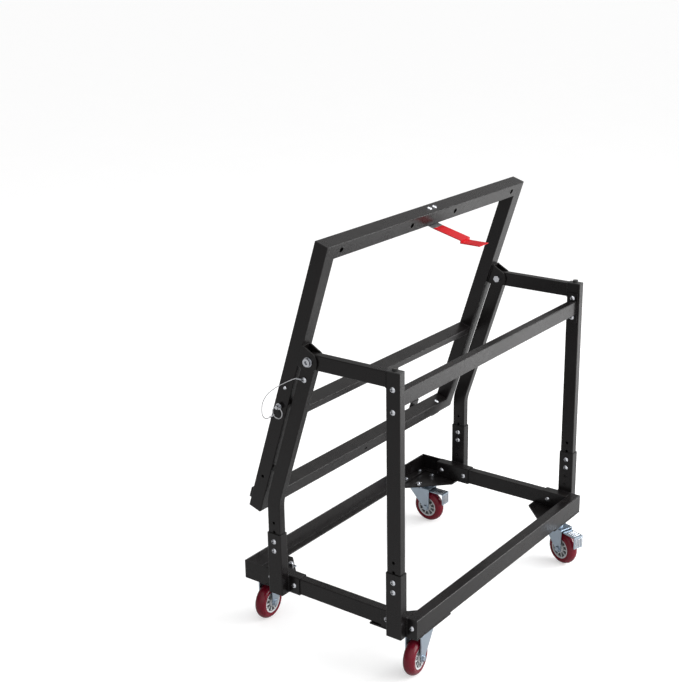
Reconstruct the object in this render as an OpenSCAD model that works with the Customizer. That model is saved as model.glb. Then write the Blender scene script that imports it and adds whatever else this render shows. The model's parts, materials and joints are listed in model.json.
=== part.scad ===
// Drywall cart: a castered base, telescoping legs and a sheet frame that tilts between steep and flat.

/* [Base] */
// Length of the base along the long rails
base_len = 840; // [700:1:1000]
// Width of the base across the long rails
base_wid = 535; // [480:1:620]
// Height of the rear rail and of the side sleeves
rail_h = 48; // [40:1:60]
// Width of the rear rail and of the side sleeves
rail_w = 30; // [26:1:40]
// Wall of every rectangular tube
tube_wall = 2; // [1.5:0.1:3]
// Outer corner radius of every rectangular tube
corner_r = 2.5; // [1.5:0.1:4]
// Clearance between a sleeve and its cross tube on each face
sleeve_clear = 0.5; // [0.2:0.1:1]
// Length of a front sleeve
front_sleeve_len = 110; // [90:1:130]
// Length of a rear sleeve
rear_sleeve_len = 74.5; // [60:0.5:90]
// Gap between the cross tube's ends and the pieces that close the sleeves
cross_tube_gap = 1.5; // [0.5:0.1:3]
// Thickness of the front angle
angle_t = 4; // [3:0.5:6]
// Height of the front angle
angle_h = 46; // [40:1:48]
// Width of the front angle's lower flange
flange_w = 22.5; // [20:0.5:26]
// Thickness of the corner gussets
gusset_t = 4; // [3:0.5:6]
// Length of a gusset along the long rails
gusset_x = 150; // [140:1:170]
// Length of a gusset across the long rails
gusset_y = 137.5; // [130:0.5:150]
// Square end of a gusset on the side rail
gusset_end_x = 50; // [40:1:60]
// Square end of a gusset on the long rail
gusset_end_y = 37.5; // [34:0.5:45]

/* [Legs] */
// Depth of a leg tube, across the long rails
leg_d = 38; // [32:1:45]
// Width of a leg tube, along the long rails
leg_w = 22; // [20:1:28]
// Clearance between a leg and its socket on each face
socket_clear = 0.4; // [0.2:0.1:0.8]
// Height of a leg socket
socket_h = 168; // [140:1:200]
// Space left under a leg inside its socket
foot_gap = 18; // [5:1:40]
// Distance from the base's middle back to the rear legs
rear_leg_back = 218; // [200:1:230]
// Height at which the front legs bend
bend_z = 382.5; // [345:0.5:420]
// Radius of the bend in the front legs
bend_r = 120; // [90:1:160]
// Lean of the front legs and of the sheet frame from upright, in degrees
lean = 18; // [15:1:21]
// Pitch of the height holes
hole_pitch = 25.4; // [20:0.1:30]
// Distance from a socket's top down to its upper bolt
socket_bolt_drop = 21.4; // [15:0.1:30]
// Outer radius of a threaded insert
insert_r = 5.5; // [5:0.1:6.5]
// Length of a threaded insert
insert_len = 12; // [8:1:16]
// Thickness of a leg's end plug above the tube
plug_t = 2; // [1:0.5:4]
// Depth of an end plug inside the tube
plug_depth = 14; // [8:1:20]

/* [Crossbar] */
// Height of the crossbar's centre
bar_z = 723.5; // [690:0.5:740]
// Thickness of the crossbar's end plates
bar_plate_t = 4; // [3:0.5:6]
// Width of the crossbar's end plates
bar_plate_w = 30; // [26:1:36]
// Height of the crossbar's end plates
bar_plate_h = 82; // [76:1:84]
// Distance from the crossbar's centre to each of its bolts
bar_bolt_off = 27; // [25:1:30]
// Radius of the vent hole in each end plate
vent_r = 5; // [3:0.5:7]

/* [Pivot] */
// Distance of the pivot in front of the base's middle
pivot_y = 16.4; // [10:0.1:24]
// Height of the pivot
pivot_z = 771.5; // [745:0.5:800]
// Radius of the pivot bolt
pivot_r = 5; // [4:0.5:6]
// Running clearance of the pivot bolt in its bush
run_clear = 0.05; // [0.02:0.01:0.1]
// Outer radius of the pivot bush
bush_r = 9; // [8:0.5:11]
// Radius of the bracket ears round the pivot
ear_r = 25; // [22:0.5:26]
// Thickness of the bracket's ears and web
ear_t = 4; // [3:0.5:5]
// Gap between an ear and the leg
ear_gap = 0.5; // [0.3:0.1:1]
// Reach of the bracket's web above the pivot
web_up = 31; // [28:1:40]
// Reach of the bracket's web below the pivot
web_down = 24; // [20:1:30]
// Radius of the pivot washer
washer_r = 12; // [11:0.5:14]
// Thickness of the pivot washer
washer_t = 2; // [1.5:0.5:3]
// Radius of the pivot bolt's head, and corner radius of its nut
pivot_head_r = 9.8; // [9:0.1:11]
// Corner radius of the pivot bolt's hexagonal socket
pivot_socket_r = 5.2; // [4:0.1:6]
// Depth of the pivot bolt's hexagonal socket
pivot_socket_deep = 4; // [3:0.1:5]
// Height of the pivot bolt's head
pivot_head_h = 6.4; // [5:0.1:8]
// Height of the pivot bolt's nut
pivot_nut_h = 8; // [6:0.1:10]

/* [Sheet frame] */
// Distance of the sheet frame's sides outside the legs
frame_over = 0.6; // [0.3:0.1:4]
// Side of the sheet frame's square tube
frame_sq = 38; // [34:1:42]
// Reach of the sheet frame above the pivot
frame_up = 284.5; // [280:0.5:310]
// Reach of the sheet frame below the pivot
frame_down = 462; // [420:1:480]
// Distance from the pivot to the sheet frame's rear face
frame_gap = 28; // [26:1:32]
// Distance from the pivot down to the middle rail's centre
mid_drop = 185; // [183:1:200]
// Height of the middle rail
mid_h = 22; // [18:1:26]
// Radius of the bolting holes in the top rail
bolt_hole_r = 6.5; // [4:0.05:8]
// Distance of the outer bolting holes from the frame's sides
bolt_hole_out = 59; // [50:1:90]
// Distance of the inner bolting holes from the middle
bolt_hole_in = 98; // [60:1:160]
// Radius of the side hole and of the bottom rail's hole
side_hole_r = 4.25; // [3:0.05:5.5]
// Distance of the side hole above the sheet frame's lower end
side_hole_up = 100; // [60:1:140]
// Distance of the side rail's small screw below the pivot
rail_screw_drop = 100; // [80:1:120]
// Radius of the side rail's small screw
rail_screw_r = 2.5; // [2:0.1:3]
// Radius of the small screw's head
rail_screw_head_r = 4.5; // [4:0.1:6]
// Height of the small screw's head
rail_screw_head_h = 2.4; // [2:0.1:3]
// Length of the small screw
rail_screw_len = 10; // [8:1:14]

/* [Panel rests] */
// Distance of the panel rests from the frame's sides
rest_in = 80; // [70:1:110]
// Width of a panel rest
rest_w = 40; // [30:1:50]
// Thickness of a panel rest's plate
rest_t = 4; // [3:0.5:5]
// Drop of a panel rest's shelf below the bottom rail
rest_drop = 29; // [24:1:35]
// Depth of a panel rest's shelf in front of the frame
rest_depth = 44; // [30:1:60]
// Height of a panel rest's lip
rest_lip = 28; // [18:1:40]
// Distance of the panel rest's bolt from the frame's rear face
rest_bolt_in = 12; // [10:1:16]
// Setback of a panel rest's plate from the frame's faces
rest_inset = 2; // [1:0.5:4]

/* [Latch] */
// Offset of the latch from the middle
latch_x = 7; // [-20:1:20]
// Width of the latch
latch_w = 42; // [34:1:50]
// Thickness of the latch strip
latch_t = 2; // [1.5:0.1:2.5]
// Distance from the frame's rear face to the latch's flexing line
latch_root = 14; // [6:1:18]
// Spacing of the latch bolts
latch_bolt_gap = 22; // [18:1:26]
// Depth of the latch hook under the crossbar
latch_bite = 2.4; // [1.5:0.1:2.6]
// Gap between the latch hook and the crossbar
latch_gap = 0.8; // [0.5:0.1:1]
// Height of the step before the latch hook
latch_step = 6.5; // [5.5:0.5:9]
// Fall of the latch hook along its step
latch_fall = 1.5; // [1:0.5:2]
// Length of the latch's thumb tab
latch_tab = 52; // [45:0.5:70]
// Return of the thumb tab away from the crossbar
latch_return = 16; // [10:0.5:22]
// Gap at the flexing line
flex_gap = 0.3; // [0.2:0.05:0.6]

/* [Tilt lock] */
// Radius of the lock pin
pin_r = 4; // [3:0.1:5]
// Clearance of the lock pin in its holes
pin_clear = 0.08; // [0.05:0.01:0.1]
// Distance of the lock pin below the pivot, along the frame
pin_drop = 151; // [148:1:160]
// Withdrawal of the lock pin's shoulder from the rail
pin_out = 5.5; // [5.5:0.5:10]
// Distance of the lock pin's tip short of the rail's inner face
pin_short = 0.2; // [0:0.1:1]
// Radius of the lock pin's shoulder
pin_collar_r = 8; // [6:0.5:10]
// Thickness of the lock pin's shoulder
pin_collar_t = 2; // [1.5:0.5:4]
// Radius of the lock pin's eye
pin_eye_r = 4.5; // [4:0.1:6]
// Length of the lock pin's eye
pin_eye_len = 9; // [7:0.5:12]
// Radius of the pull ring to its wire's centre
ring_r = 14.5; // [12:0.5:18]
// Radius of the pull ring's wire
ring_wire_r = 1.25; // [1:0.05:1.8]
// Clearance of the pull ring in the eye
ring_clear = 0.3; // [0.2:0.05:0.5]
// Thickness of the lock tab's plate
tab_t = 4; // [3:0.5:5]
// Gap between the lock tab and the rail
tab_gap = 0.5; // [0.3:0.1:1]
// Radius of the lock tab round the pin's hole
tab_r = 9; // [7:0.5:9.5]
// Half height of the lock tab's block along the leg
tab_block_h = 12; // [9:0.5:14]
// Back of the lock tab's block, in front of the leg's centre
tab_block_back = 1; // [0:0.5:4]
// Reach of the lock tab's block in front of the leg's centre
tab_block_n = 15; // [12:0.5:17]
// Distance of the lanyard's screw below the pivot along the leg
lanyard_drop = 51; // [46:1:60]
// Radius of the lanyard wire
lanyard_r = 1; // [0.8:0.1:1.4]
// Radius of the lanyard's crimps
crimp_r = 2.2; // [1.6:0.1:3]
// Length of the lanyard's crimp on the leg
crimp_len = 15; // [14:0.5:18]
// Length of the lanyard's crimp on the pull ring
ring_crimp_len = 8; // [6:0.5:10]
// Thickness of the lanyard's eyelet
eyelet_t = 1.6; // [1:0.1:2]
// Radius of the lanyard's small loop to its wire's centre
loop_r = 3.6; // [3:0.1:5]
// Turn of the lanyard's small loop round the pull ring, in degrees
loop_turn = -36; // [-60:1:0]
// Turn of the small loop's crimp away from the sheet, in degrees
crimp_turn = 75; // [60:1:90]
// Gap between the lanyard's ends and its crimps
cord_gap = 0.4; // [0.3:0.1:0.8]
// Sideways bulge of the lanyard
lanyard_bulge = 40; // [25:1:55]

/* [Casters] */
// Height from the floor to the casters' mounting face
caster_h = 120.5; // [115:0.5:140]
// Distance of the casters from the base's ends
caster_in_x = 78; // [76:1:85]
// Distance of the casters from the base's long sides
caster_in_y = 37.5; // [35.5:0.5:41.5]
// Heading of the front left caster, in degrees
heading_front_left = 184; // [170:1:190]
// Heading of the rear left caster, in degrees
heading_rear_left = 188; // [170:1:190]
// Heading of the rear right caster, in degrees
heading_rear_right = -108; // [-110:1:-90]
// Heading of the front right caster, in degrees
heading_front_right = -90; // [-100:1:-80]
// Length of a caster's mounting plate
plate_len = 95; // [90:1:100]
// Width of a caster's mounting plate
plate_wid = 64; // [60:1:68]
// Thickness of a caster's mounting plate
plate_t = 3; // [2.5:0.5:4]
// Spacing of the caster bolts along the plate
plate_bolt_x = 75; // [70:1:78]
// Spacing of the caster bolts across the plate
plate_bolt_y = 45; // [42:1:48]
// Radius of a caster's ball race
race_r = 27; // [24:0.5:30]
// Height of a caster's upper race
race_h = 6.5; // [5:0.5:9]
// Gap between the upper race and the fork
race_gap = 0.5; // [0.3:0.1:1]
// Height of the fork's lower race
cup_h = 2.5; // [2:0.5:4]
// Radius of the kingpin
kingpin_r = 6; // [5:0.5:8]
// Radius of the kingpin's head
kingpin_head_r = 10; // [9:0.5:12]
// Height of the kingpin's head
kingpin_head_h = 5; // [4:0.5:6]
// Thickness of the fork's plate
fork_t = 3; // [2.5:0.5:4]
// Half the space between the fork's legs
fork_in = 19; // [18:0.5:22]
// Reach of the fork ahead of the kingpin
fork_back = 28; // [27:1:32]
// Reach of the fork's crown towards the wheel
fork_front = 48; // [44:1:52]
// Radius of the fork round the axle
fork_boss_r = 10.5; // [9.5:0.5:15]
// Distance of the axle behind the kingpin
trail = 37; // [34:1:48]
// Radius of the axle
axle_r = 5; // [4:0.5:6]
// Height of the axle's heads
axle_head_h = 4; // [3:0.5:6]
// Corner radius of the axle's heads
axle_head_r = 8; // [7:0.5:9]
// Radius of a wheel
wheel_r = 47.5; // [45:0.5:52]
// Width of a wheel's tread
tread_w = 30; // [28:1:34]
// Depth of a wheel's tread
tread_t = 17; // [10:1:20]
// Radius of the tread's round crown, seen in section
crown_r = 16.5; // [15.5:0.5:24]
// Gap between a hub and its tread
bond_gap = 0.03; // [0:0.01:0.05]
// Radius of a hub's boss
hub_boss_r = 13; // [11:0.5:16]
// Gap between a hub's boss and the fork
hub_gap = 1; // [0.5:0.1:2]
// Depth of a hub's rim
hub_rim = 4.5; // [4:0.5:8]
// Thickness of a hub's web
hub_web = 10; // [8:0.5:14]
// Setback of a hub's rim inside the tread's sides
hub_set = 1; // [0.5:0.1:2]
// Number of ribs on a hub's side
rib_count = 10; // [6:1:14]
// Thickness of a hub's rib
rib_t = 3; // [2:0.5:4]

/* [Brake pedals] */
// Distance of the pedal's pin from the kingpin
pedal_x = 26; // [24:0.5:28]
// Height of the pedal's plate above the wheel
pedal_lift = 4; // [3.5:0.1:5]
// Thickness of the pedal's plate
pedal_t = 3; // [2:0.5:4]
// Width of the pedal
pedal_w = 32; // [26:1:36]
// Reach of the pedal from the kingpin
pedal_reach = 95; // [88:1:100]
// Drop of the pedal's bent end
pedal_drop = 32; // [12:1:34]
// Radius of the pedal's barrel
pedal_barrel_r = 4; // [3.5:0.1:4.2]
// Radius of the pedal's pin
pedal_pin_r = 2; // [1.5:0.1:2.5]

/* [Fasteners] */
// Radius of the frame bolts
bolt_r = 4; // [3:0.1:5]
// Clearance of a bolt in a plain hole
bolt_clear = 0.3; // [0.2:0.05:0.5]
// Clearance of a bolt in its thread
thread_clear = 0.05; // [0.02:0.01:0.1]
// Radius of a button head
head_r = 7; // [6:0.1:8]
// Height of a button head
head_h = 4.4; // [3.5:0.1:5.5]
// Height of a button head's straight edge
head_edge = 0.8; // [0.4:0.1:1.2]
// Corner radius of a head's hexagonal socket
socket_r = 2.9; // [2.2:0.1:3.5]
// Depth of a head's hexagonal socket
socket_deep = 2.6; // [1.5:0.1:3]
// Length of the base bolts
bolt_len = 16; // [13:1:18]
// Corner radius of a nut
nut_r = 7.5; // [6.8:0.1:8]
// Height of a nut
nut_h = 6.5; // [5:0.1:8]
// Length of a bolt past its nut
bolt_over = 2; // [0.5:0.5:4]
// Radius of a frame bumper
bumper_r = 7; // [6:0.5:9]
// Gap between a bumper and the frame that comes to rest on it
bumper_gap = 0.3; // [0.2:0.1:0.5]
// Distance of the leg bumpers below the pivot
leg_bumper_drop = 330; // [250:1:370]
// Overrun of every cut
over = 1; // [0.5:0.1:1.5]

/* [Hidden] */
$fn = 64;

half_len = base_len / 2;
half_wid = base_wid / 2;
caster_x = half_len - caster_in_x;
caster_y = half_wid - caster_in_y;
rail_z0 = caster_h + gusset_t;
rail_z1 = rail_z0 + rail_h;
rail_mid = rail_z0 + rail_h / 2;
sleeve_in = half_len - rail_w;
rear_rail_y = rail_w - half_wid;

// The legs stand against the sleeves' outer faces
leg_x0 = half_len + tube_wall + socket_clear;
leg_x1 = leg_x0 + leg_w;
leg_mid_x = (leg_x0 + leg_x1) / 2;
socket_x1 = leg_x1 + socket_clear + tube_wall;
socket_half_y = leg_d / 2 + socket_clear + tube_wall;
socket_top = rail_z0 + socket_h;
leg_foot = rail_z0 + tube_wall + foot_gap;
upper_bolt_z = socket_top - socket_bolt_drop;
front_leg_y = pivot_y + (pivot_z - bend_z) * tan(lean);
rear_leg_y = -rear_leg_back;
arm_top = pivot_z + leg_d / 2;
bend_reach = bend_r * tan(lean / 2);
bend_low = bend_z - bend_reach;
upper_len = (pivot_z - bend_z) / cos(lean) - bend_reach;
front_sleeve_y = front_leg_y + front_sleeve_len / 2;
sleeve_bolt_off = (socket_half_y + front_sleeve_len / 2) / 2;
rear_sleeve_bolt_y = (rear_leg_y + socket_half_y + rear_rail_y + rear_sleeve_len) / 2;

bar_back_y = rear_leg_y - leg_w / 2;
bar_end = leg_x0 - bar_plate_t;

// The sheet frame, in distances from the pivot across and along its own faces
frame_half = leg_x1 + frame_over;
frame_in = frame_half - frame_sq;
frame_face = frame_gap + frame_sq;
frame_mid = frame_gap + frame_sq / 2;
top_in = frame_up - frame_sq;
low_in = frame_sq - frame_down;
hole_out_x = frame_half - bolt_hole_out;
rest_x = frame_half - rest_in;
ear_in0 = leg_x0 - ear_gap - ear_t;
ear_out1 = leg_x1 + ear_gap + ear_t;

// The latch's line, from its flexing line to the end of its thumb tab
bar_low_n = bar_z - leg_d / 2 - pivot_z;
hook_n = bar_low_n - latch_gap - latch_t / 2;
hook_u = pivot_y - bar_back_y - latch_bite + latch_t / 2;
latch_line = [
    [frame_gap - latch_root, top_in - latch_t / 2],
    [hook_n + latch_fall, hook_u + latch_step],
    [hook_n, hook_u],
    [hook_n - latch_tab, hook_u + latch_return]
];

// The strip's two edges, mitred where its line turns
latch_last = len(latch_line) - 1;
function unit(v) = v / norm(v);
function beside(i) = let (d = unit(latch_line[i + 1] - latch_line[i])) [-d[1], d[0]];
function edge_way(i) = i == 0 ? beside(0) : i == latch_last ? beside(latch_last - 1)
    : let (m = unit(beside(i - 1) + beside(i))) m / (m * beside(i));
function latch_edge(i, hand) = latch_line[i] + hand * latch_t / 2 * edge_way(i);

// The lock pin, along the long rails
pin_tip_x = pin_short - frame_in;
pin_collar_x = -frame_half - pin_out;
pin_eye_x = pin_collar_x - pin_collar_t - pin_eye_len / 2;
pin_end_x = pin_eye_x - pin_eye_len / 2;
tab_x0 = frame_in - tab_gap - tab_t;
pin_y = pivot_y + frame_mid * cos(lean) + pin_drop * sin(lean);
pin_z = pivot_z + frame_mid * sin(lean) - pin_drop * cos(lean);
ring_z = pin_z - ring_r;
screw_y = pivot_y + lanyard_drop * sin(lean);
screw_z = pivot_z - lanyard_drop * cos(lean);
eyelet_x = -leg_x1 - eyelet_t;

// The lanyard's route as round points, in shares of the way from its upper to its lower crimp
loop_shift = loop_r - lanyard_r - ring_wire_r - ring_clear;
crimp_from = loop_shift + loop_r - lanyard_r;
ring_way = [0, cos(loop_turn), sin(loop_turn)];
crimp_way = [-sin(crimp_turn), cos(crimp_turn) * cos(loop_turn), cos(crimp_turn) * sin(loop_turn)];
cord_end = [pin_eye_x, pin_y, ring_z] + ring_r * ring_way + (crimp_from + ring_crimp_len + cord_gap) * crimp_way;
lanyard_x0 = -leg_x1 - crimp_r;
lanyard_y0 = screw_y + head_r + crimp_len + cord_gap;
lanyard_way_shares = [
    [0, 0, 0], [0.09, 0.06, 0.01], [0.26, 0.16, 0.04], [0.48, 0.32, 0.10], [0.78, 0.52, 0.19],
    [1.05, 0.72, 0.33], [1.13, 0.85, 0.51], [1, 0.93, 0.69], [0.76, 0.99, 0.86], [0.45, 1.02, 0.97],
    [0.18, 1.02, 1.01], [0, 1, 1]
];
lanyard_points = [
    for (w = lanyard_way_shares) [
        lanyard_x0 + (cord_end[0] - lanyard_x0) * w[2] - lanyard_bulge * w[0],
        lanyard_y0 + (cord_end[1] - lanyard_y0) * w[1],
        screw_z + (cord_end[2] - screw_z) * w[2]
    ]
];

// The casters, from the floor up
axle_z = wheel_r;
plate_z = caster_h - plate_t;
race_z = plate_z - race_h;
crown_top = race_z - race_gap;
crown_z0 = crown_top - cup_h - fork_t;
kingpin_z0 = crown_z0 - race_gap - kingpin_head_h;
pedal_z = 2 * wheel_r + pedal_lift;
pedal_axis_z = pedal_z + pedal_t / 2;
fork_out = fork_in + fork_t;
hub_r = wheel_r - tread_t;
hub_half = fork_in - hub_gap;

// The floor's origin lies under the middle of the whole cart
left_end = pin_end_x;
right_end = ear_out1 + washer_t + pivot_head_h;
rear_turn = heading_rear_right + 90;
rest_front = frame_face + rest_depth;
rest_low = frame_down + rest_drop;
front_end = max(half_wid, pivot_y + rest_front * cos(lean) + rest_low * sin(lean));
rear_end = -caster_y - pedal_reach * cos(rear_turn) - pedal_w / 2 * abs(sin(rear_turn));
shift_x = -(left_end + right_end) / 2;
shift_y = -(front_end + rear_end) / 2;

dome_h = head_h - head_edge;
dome_r = (head_r * head_r + dome_h * dome_h) / (2 * dome_h);
head_top_share = 0.66;

// A tube's outline about its own middle, with rounded corners
corner_steps = 4;
function corner_arc(x, y, from) = [
    for (i = [0:corner_steps]) let (a = from + 90 * i / corner_steps)
        [x + corner_r * cos(a), y + corner_r * sin(a)]
];
function tube_outline(w, d) = let (x = w / 2 - corner_r, y = d / 2 - corner_r) concat(
    corner_arc(x, y, 0), corner_arc(-x, y, 90), corner_arc(-x, -y, 180), corner_arc(x, -y, 270)
);
function half_outline(w, d) = let (x = w / 2 - corner_r, y = d / 2 - corner_r) concat(
    [[0, -d / 2]], corner_arc(x, -y, 270), corner_arc(x, y, 0), [[0, d / 2]]
);

coat = [0.13, 0.13, 0.14];
zinc = [0.74, 0.75, 0.78];
steel = [0.62, 0.63, 0.65];
red = [0.75, 0.05, 0.07];
crimson = [0.45, 0.02, 0.05];
grey = [0.80, 0.80, 0.80];
rubber = [0.06, 0.06, 0.06];

// Everything stands in the cart's own frame
module placed() {
    translate([shift_x, shift_y, 0]) children();
}

// The sheet frame's own directions: across its face, then up along it
module in_frame() {
    translate([0, pivot_y, pivot_z]) rotate([lean, 0, 0]) children();
}

// A block between two corners
module span(x0, x1, y0, y1, z0, z1) {
    translate([x0, y0, z0]) cube([x1 - x0, y1 - y0, z1 - z0]);
}

// The same block on the left (side -1) or on the right (side 1)
module side_span(side, x0, x1, y0, y1, z0, z1) {
    span(side > 0 ? x0 : -x1, side > 0 ? x1 : -x0, y0, y1, z0, z1);
}

// Tubes between two corners, with rounded edges along one direction
module tube_x(x0, x1, y0, y1, z0, z1) {
    translate([x0, (y0 + y1) / 2, (z0 + z1) / 2]) rotate([90, 0, 90])
        linear_extrude(x1 - x0) polygon(tube_outline(y1 - y0, z1 - z0));
}

module tube_y(x0, x1, y0, y1, z0, z1) {
    translate([(x0 + x1) / 2, y1, (z0 + z1) / 2]) rotate([90, 0, 0])
        linear_extrude(y1 - y0) polygon(tube_outline(x1 - x0, z1 - z0));
}

module tube_z(x0, x1, y0, y1, z0, z1) {
    translate([(x0 + x1) / 2, (y0 + y1) / 2, z0])
        linear_extrude(z1 - z0) polygon(tube_outline(x1 - x0, y1 - y0));
}

// A side outline drawn along the long rails
module along_x(x0, len) {
    translate([x0, 0, 0]) rotate([90, 0, 90]) linear_extrude(len) children();
}

// A round bar along the long rails
module bar_x(x0, y, z, r, len) {
    translate([x0, y, z]) rotate([0, 90, 0]) cylinder(r = r, h = len);
}

// A round bar across the long rails
module bar_y(x, y0, z, r, len) {
    translate([x, y0, z]) rotate([-90, 0, 0]) cylinder(r = r, h = len);
}

// A button head with a hexagonal socket, on a plain shank that points along +Z
module button_bolt(len) {
    difference() {
        union() {
            cylinder(r = bolt_r, h = len);
            intersection() {
                translate([0, 0, -head_h]) cylinder(r = head_r, h = head_h);
                translate([0, 0, dome_r - head_h]) sphere(r = dome_r);
            }
        }
        translate([0, 0, -head_h - over]) cylinder(r = socket_r, h = socket_deep + over, $fn = 6);
    }
}

// A hexagonal nut on a bolt that points along +Z
module hex_nut(r, bore_r, h) {
    difference() {
        cylinder(r = r, h = h, $fn = 6);
        translate([0, 0, -over]) cylinder(r = bore_r, h = h + 2 * over);
    }
}

// A button bolt with its head towards -X
module bolt_x(x, y, z, len) {
    translate([x, y, z]) rotate([0, 90, 0]) button_bolt(len);
}

// The face towards -X on a piece that spans two distances from the middle
function low_x(side, x0, x1) = side > 0 ? x0 : -x1;
function high_x(side, x0, x1) = side > 0 ? x1 : -x0;

// The front angle
module base_front_rail() {
    color(coat) placed() difference() {
        union() {
            span(-half_len, half_len, half_wid - angle_t, half_wid, rail_z0, rail_z0 + angle_h);
            span(-half_len, half_len, half_wid - flange_w, half_wid, rail_z0, rail_z0 + angle_t);
        }
        caster_bolt_holes();
    }
}

// A short angle from the front rail back to a sleeve
module base_front_return(side) {
    placed() union() {
        side_span(side, half_len - angle_t, half_len, front_sleeve_y, half_wid - angle_t,
            rail_z0 + angle_t, rail_z0 + angle_h);
        side_span(side, half_len - flange_w, half_len, front_sleeve_y, half_wid - flange_w,
            rail_z0, rail_z0 + angle_t);
    }
}

module base_front_return_left() {
    color(coat) base_front_return(-1);
}

module base_front_return_right() {
    color(coat) base_front_return(1);
}

// The rear rail, a tube with closed ends
module base_rear_rail() {
    color(coat) placed() difference() {
        tube_x(-half_len, half_len, -half_wid, rear_rail_y, rail_z0, rail_z1);
        span(tube_wall - half_len, half_len - tube_wall, tube_wall - half_wid, rear_rail_y - tube_wall,
            rail_z0 + tube_wall, rail_z1 - tube_wall);
        caster_bolt_holes();
        bar_x(-half_len - over, (rear_rail_y - half_wid) / 2, rail_mid, bolt_r + bolt_clear,
            2 * (half_len + over));
    }
}

// A cross tube inside its two sleeves
module base_cross_tube(side) {
    side_in = sleeve_in + tube_wall + sleeve_clear;
    side_out = half_len - tube_wall - sleeve_clear;
    low = rail_z0 + tube_wall + sleeve_clear;
    high = rail_z1 - tube_wall - sleeve_clear;
    back = rear_rail_y + cross_tube_gap;
    front = front_sleeve_y - tube_wall - cross_tube_gap;
    placed() difference() {
        tube_y(low_x(side, side_in, side_out), high_x(side, side_in, side_out), back, front, low, high);
        side_span(side, side_in + tube_wall, side_out - tube_wall, back - over, front + over,
            low + tube_wall, high - tube_wall);
        sleeve_bolt_holes(side);
    }
}

module base_cross_tube_left() {
    color(coat) base_cross_tube(-1);
}

module base_cross_tube_right() {
    color(coat) base_cross_tube(1);
}

// The sleeve bolts' places, front to back
function sleeve_bolt_ys() = [
    front_leg_y + sleeve_bolt_off, front_leg_y - sleeve_bolt_off, rear_sleeve_bolt_y
];

// The holes for the sleeve bolts, in the walls towards -X
module sleeve_bolt_holes(side) {
    for (y = sleeve_bolt_ys())
        bar_x(low_x(side, sleeve_in, half_len) - over, y, rail_mid, bolt_r + bolt_clear, rail_w / 2 + over);
}

// A sleeve with the leg socket on its outer face
module leg_socket(side, leg_y, back, front, cap) {
    placed() difference() {
        union() {
            tube_y(low_x(side, sleeve_in, half_len), high_x(side, sleeve_in, half_len), back, front,
                rail_z0, rail_z1);
            tube_z(low_x(side, half_len, socket_x1), high_x(side, half_len, socket_x1),
                leg_y - socket_half_y, leg_y + socket_half_y, rail_z0, socket_top);
        }
        side_span(side, sleeve_in + tube_wall, half_len - tube_wall, back - over,
            front - cap + (cap > 0 ? 0 : over), rail_z0 + tube_wall, rail_z1 - tube_wall);
        side_span(side, leg_x0 - socket_clear, leg_x1 + socket_clear,
            leg_y - leg_d / 2 - socket_clear, leg_y + leg_d / 2 + socket_clear,
            rail_z0 + tube_wall, socket_top + over);
        sleeve_bolt_holes(side);
        for (step = [0:side > 0 ? 3 : 1])
            bar_x(low_x(side, half_len, socket_x1) - over, leg_y, upper_bolt_z - step * hole_pitch,
                bolt_r + bolt_clear, leg_w / 2);
    }
}

module leg_socket_front(side) {
    leg_socket(side, front_leg_y, front_sleeve_y - front_sleeve_len, front_sleeve_y, tube_wall);
}

module leg_socket_rear(side) {
    leg_socket(side, rear_leg_y, rear_rail_y, rear_rail_y + rear_sleeve_len, 0);
}

module leg_socket_front_left() {
    color(coat) leg_socket_front(-1);
}

module leg_socket_front_right() {
    color(coat) leg_socket_front(1);
}

module leg_socket_rear_left() {
    color(coat) leg_socket_rear(-1);
}

module leg_socket_rear_right() {
    color(coat) leg_socket_rear(1);
}

// The holes for all the caster bolts
module caster_bolt_holes() {
    for (sx = [-1, 1], sy = [-1, 1], px = [-1, 1], py = [-1, 1])
        translate([sx * caster_x + px * plate_bolt_x / 2, sy * caster_y + py * plate_bolt_y / 2,
            plate_z - over])
            cylinder(r = bolt_r + bolt_clear, h = rail_h / 2);
}

// The four corner plates that carry the casters
module caster_gussets() {
    color(coat) placed() difference() {
        for (sx = [-1, 1], sy = [-1, 1])
            translate([0, 0, caster_h]) linear_extrude(gusset_t) polygon([
                [sx * half_len, sy * half_wid],
                [sx * (half_len - gusset_x), sy * half_wid],
                [sx * (half_len - gusset_x), sy * (half_wid - gusset_end_y)],
                [sx * (half_len - gusset_end_x), sy * (half_wid - gusset_y)],
                [sx * half_len, sy * (half_wid - gusset_y)]
            ]);
        caster_bolt_holes();
    }
}

// The holes for a leg's threaded inserts, in the wall towards -X
module insert_holes(side, leg_y) {
    for (step = [-1:2])
        bar_x(low_x(side, leg_x0, leg_x1) - over, leg_y, upper_bolt_z + step * hole_pitch,
            insert_r + thread_clear, over + 2 * tube_wall);
}

// A front leg's outer form: upright, bent, leaning and rounded off at the pivot
module front_leg_form(side) {
    x0 = low_x(side, leg_x0, leg_x1);
    tube_z(x0, x0 + leg_w, front_leg_y - leg_d / 2, front_leg_y + leg_d / 2, leg_foot, bend_low);
    translate([x0 + leg_w / 2, front_leg_y - bend_r, bend_low]) rotate([90, 0, 90])
        rotate_extrude(angle = lean) translate([bend_r, 0]) polygon(tube_outline(leg_d, leg_w));
    in_frame() tube_z(x0, x0 + leg_w, -leg_d / 2, leg_d / 2, -upper_len, 0);
    in_frame() translate([x0 + leg_w / 2, 0, 0]) rotate([0, 90, 0]) rotate([0, 0, 90])
        rotate_extrude(angle = 180) polygon(half_outline(leg_d, leg_w));
}

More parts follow.
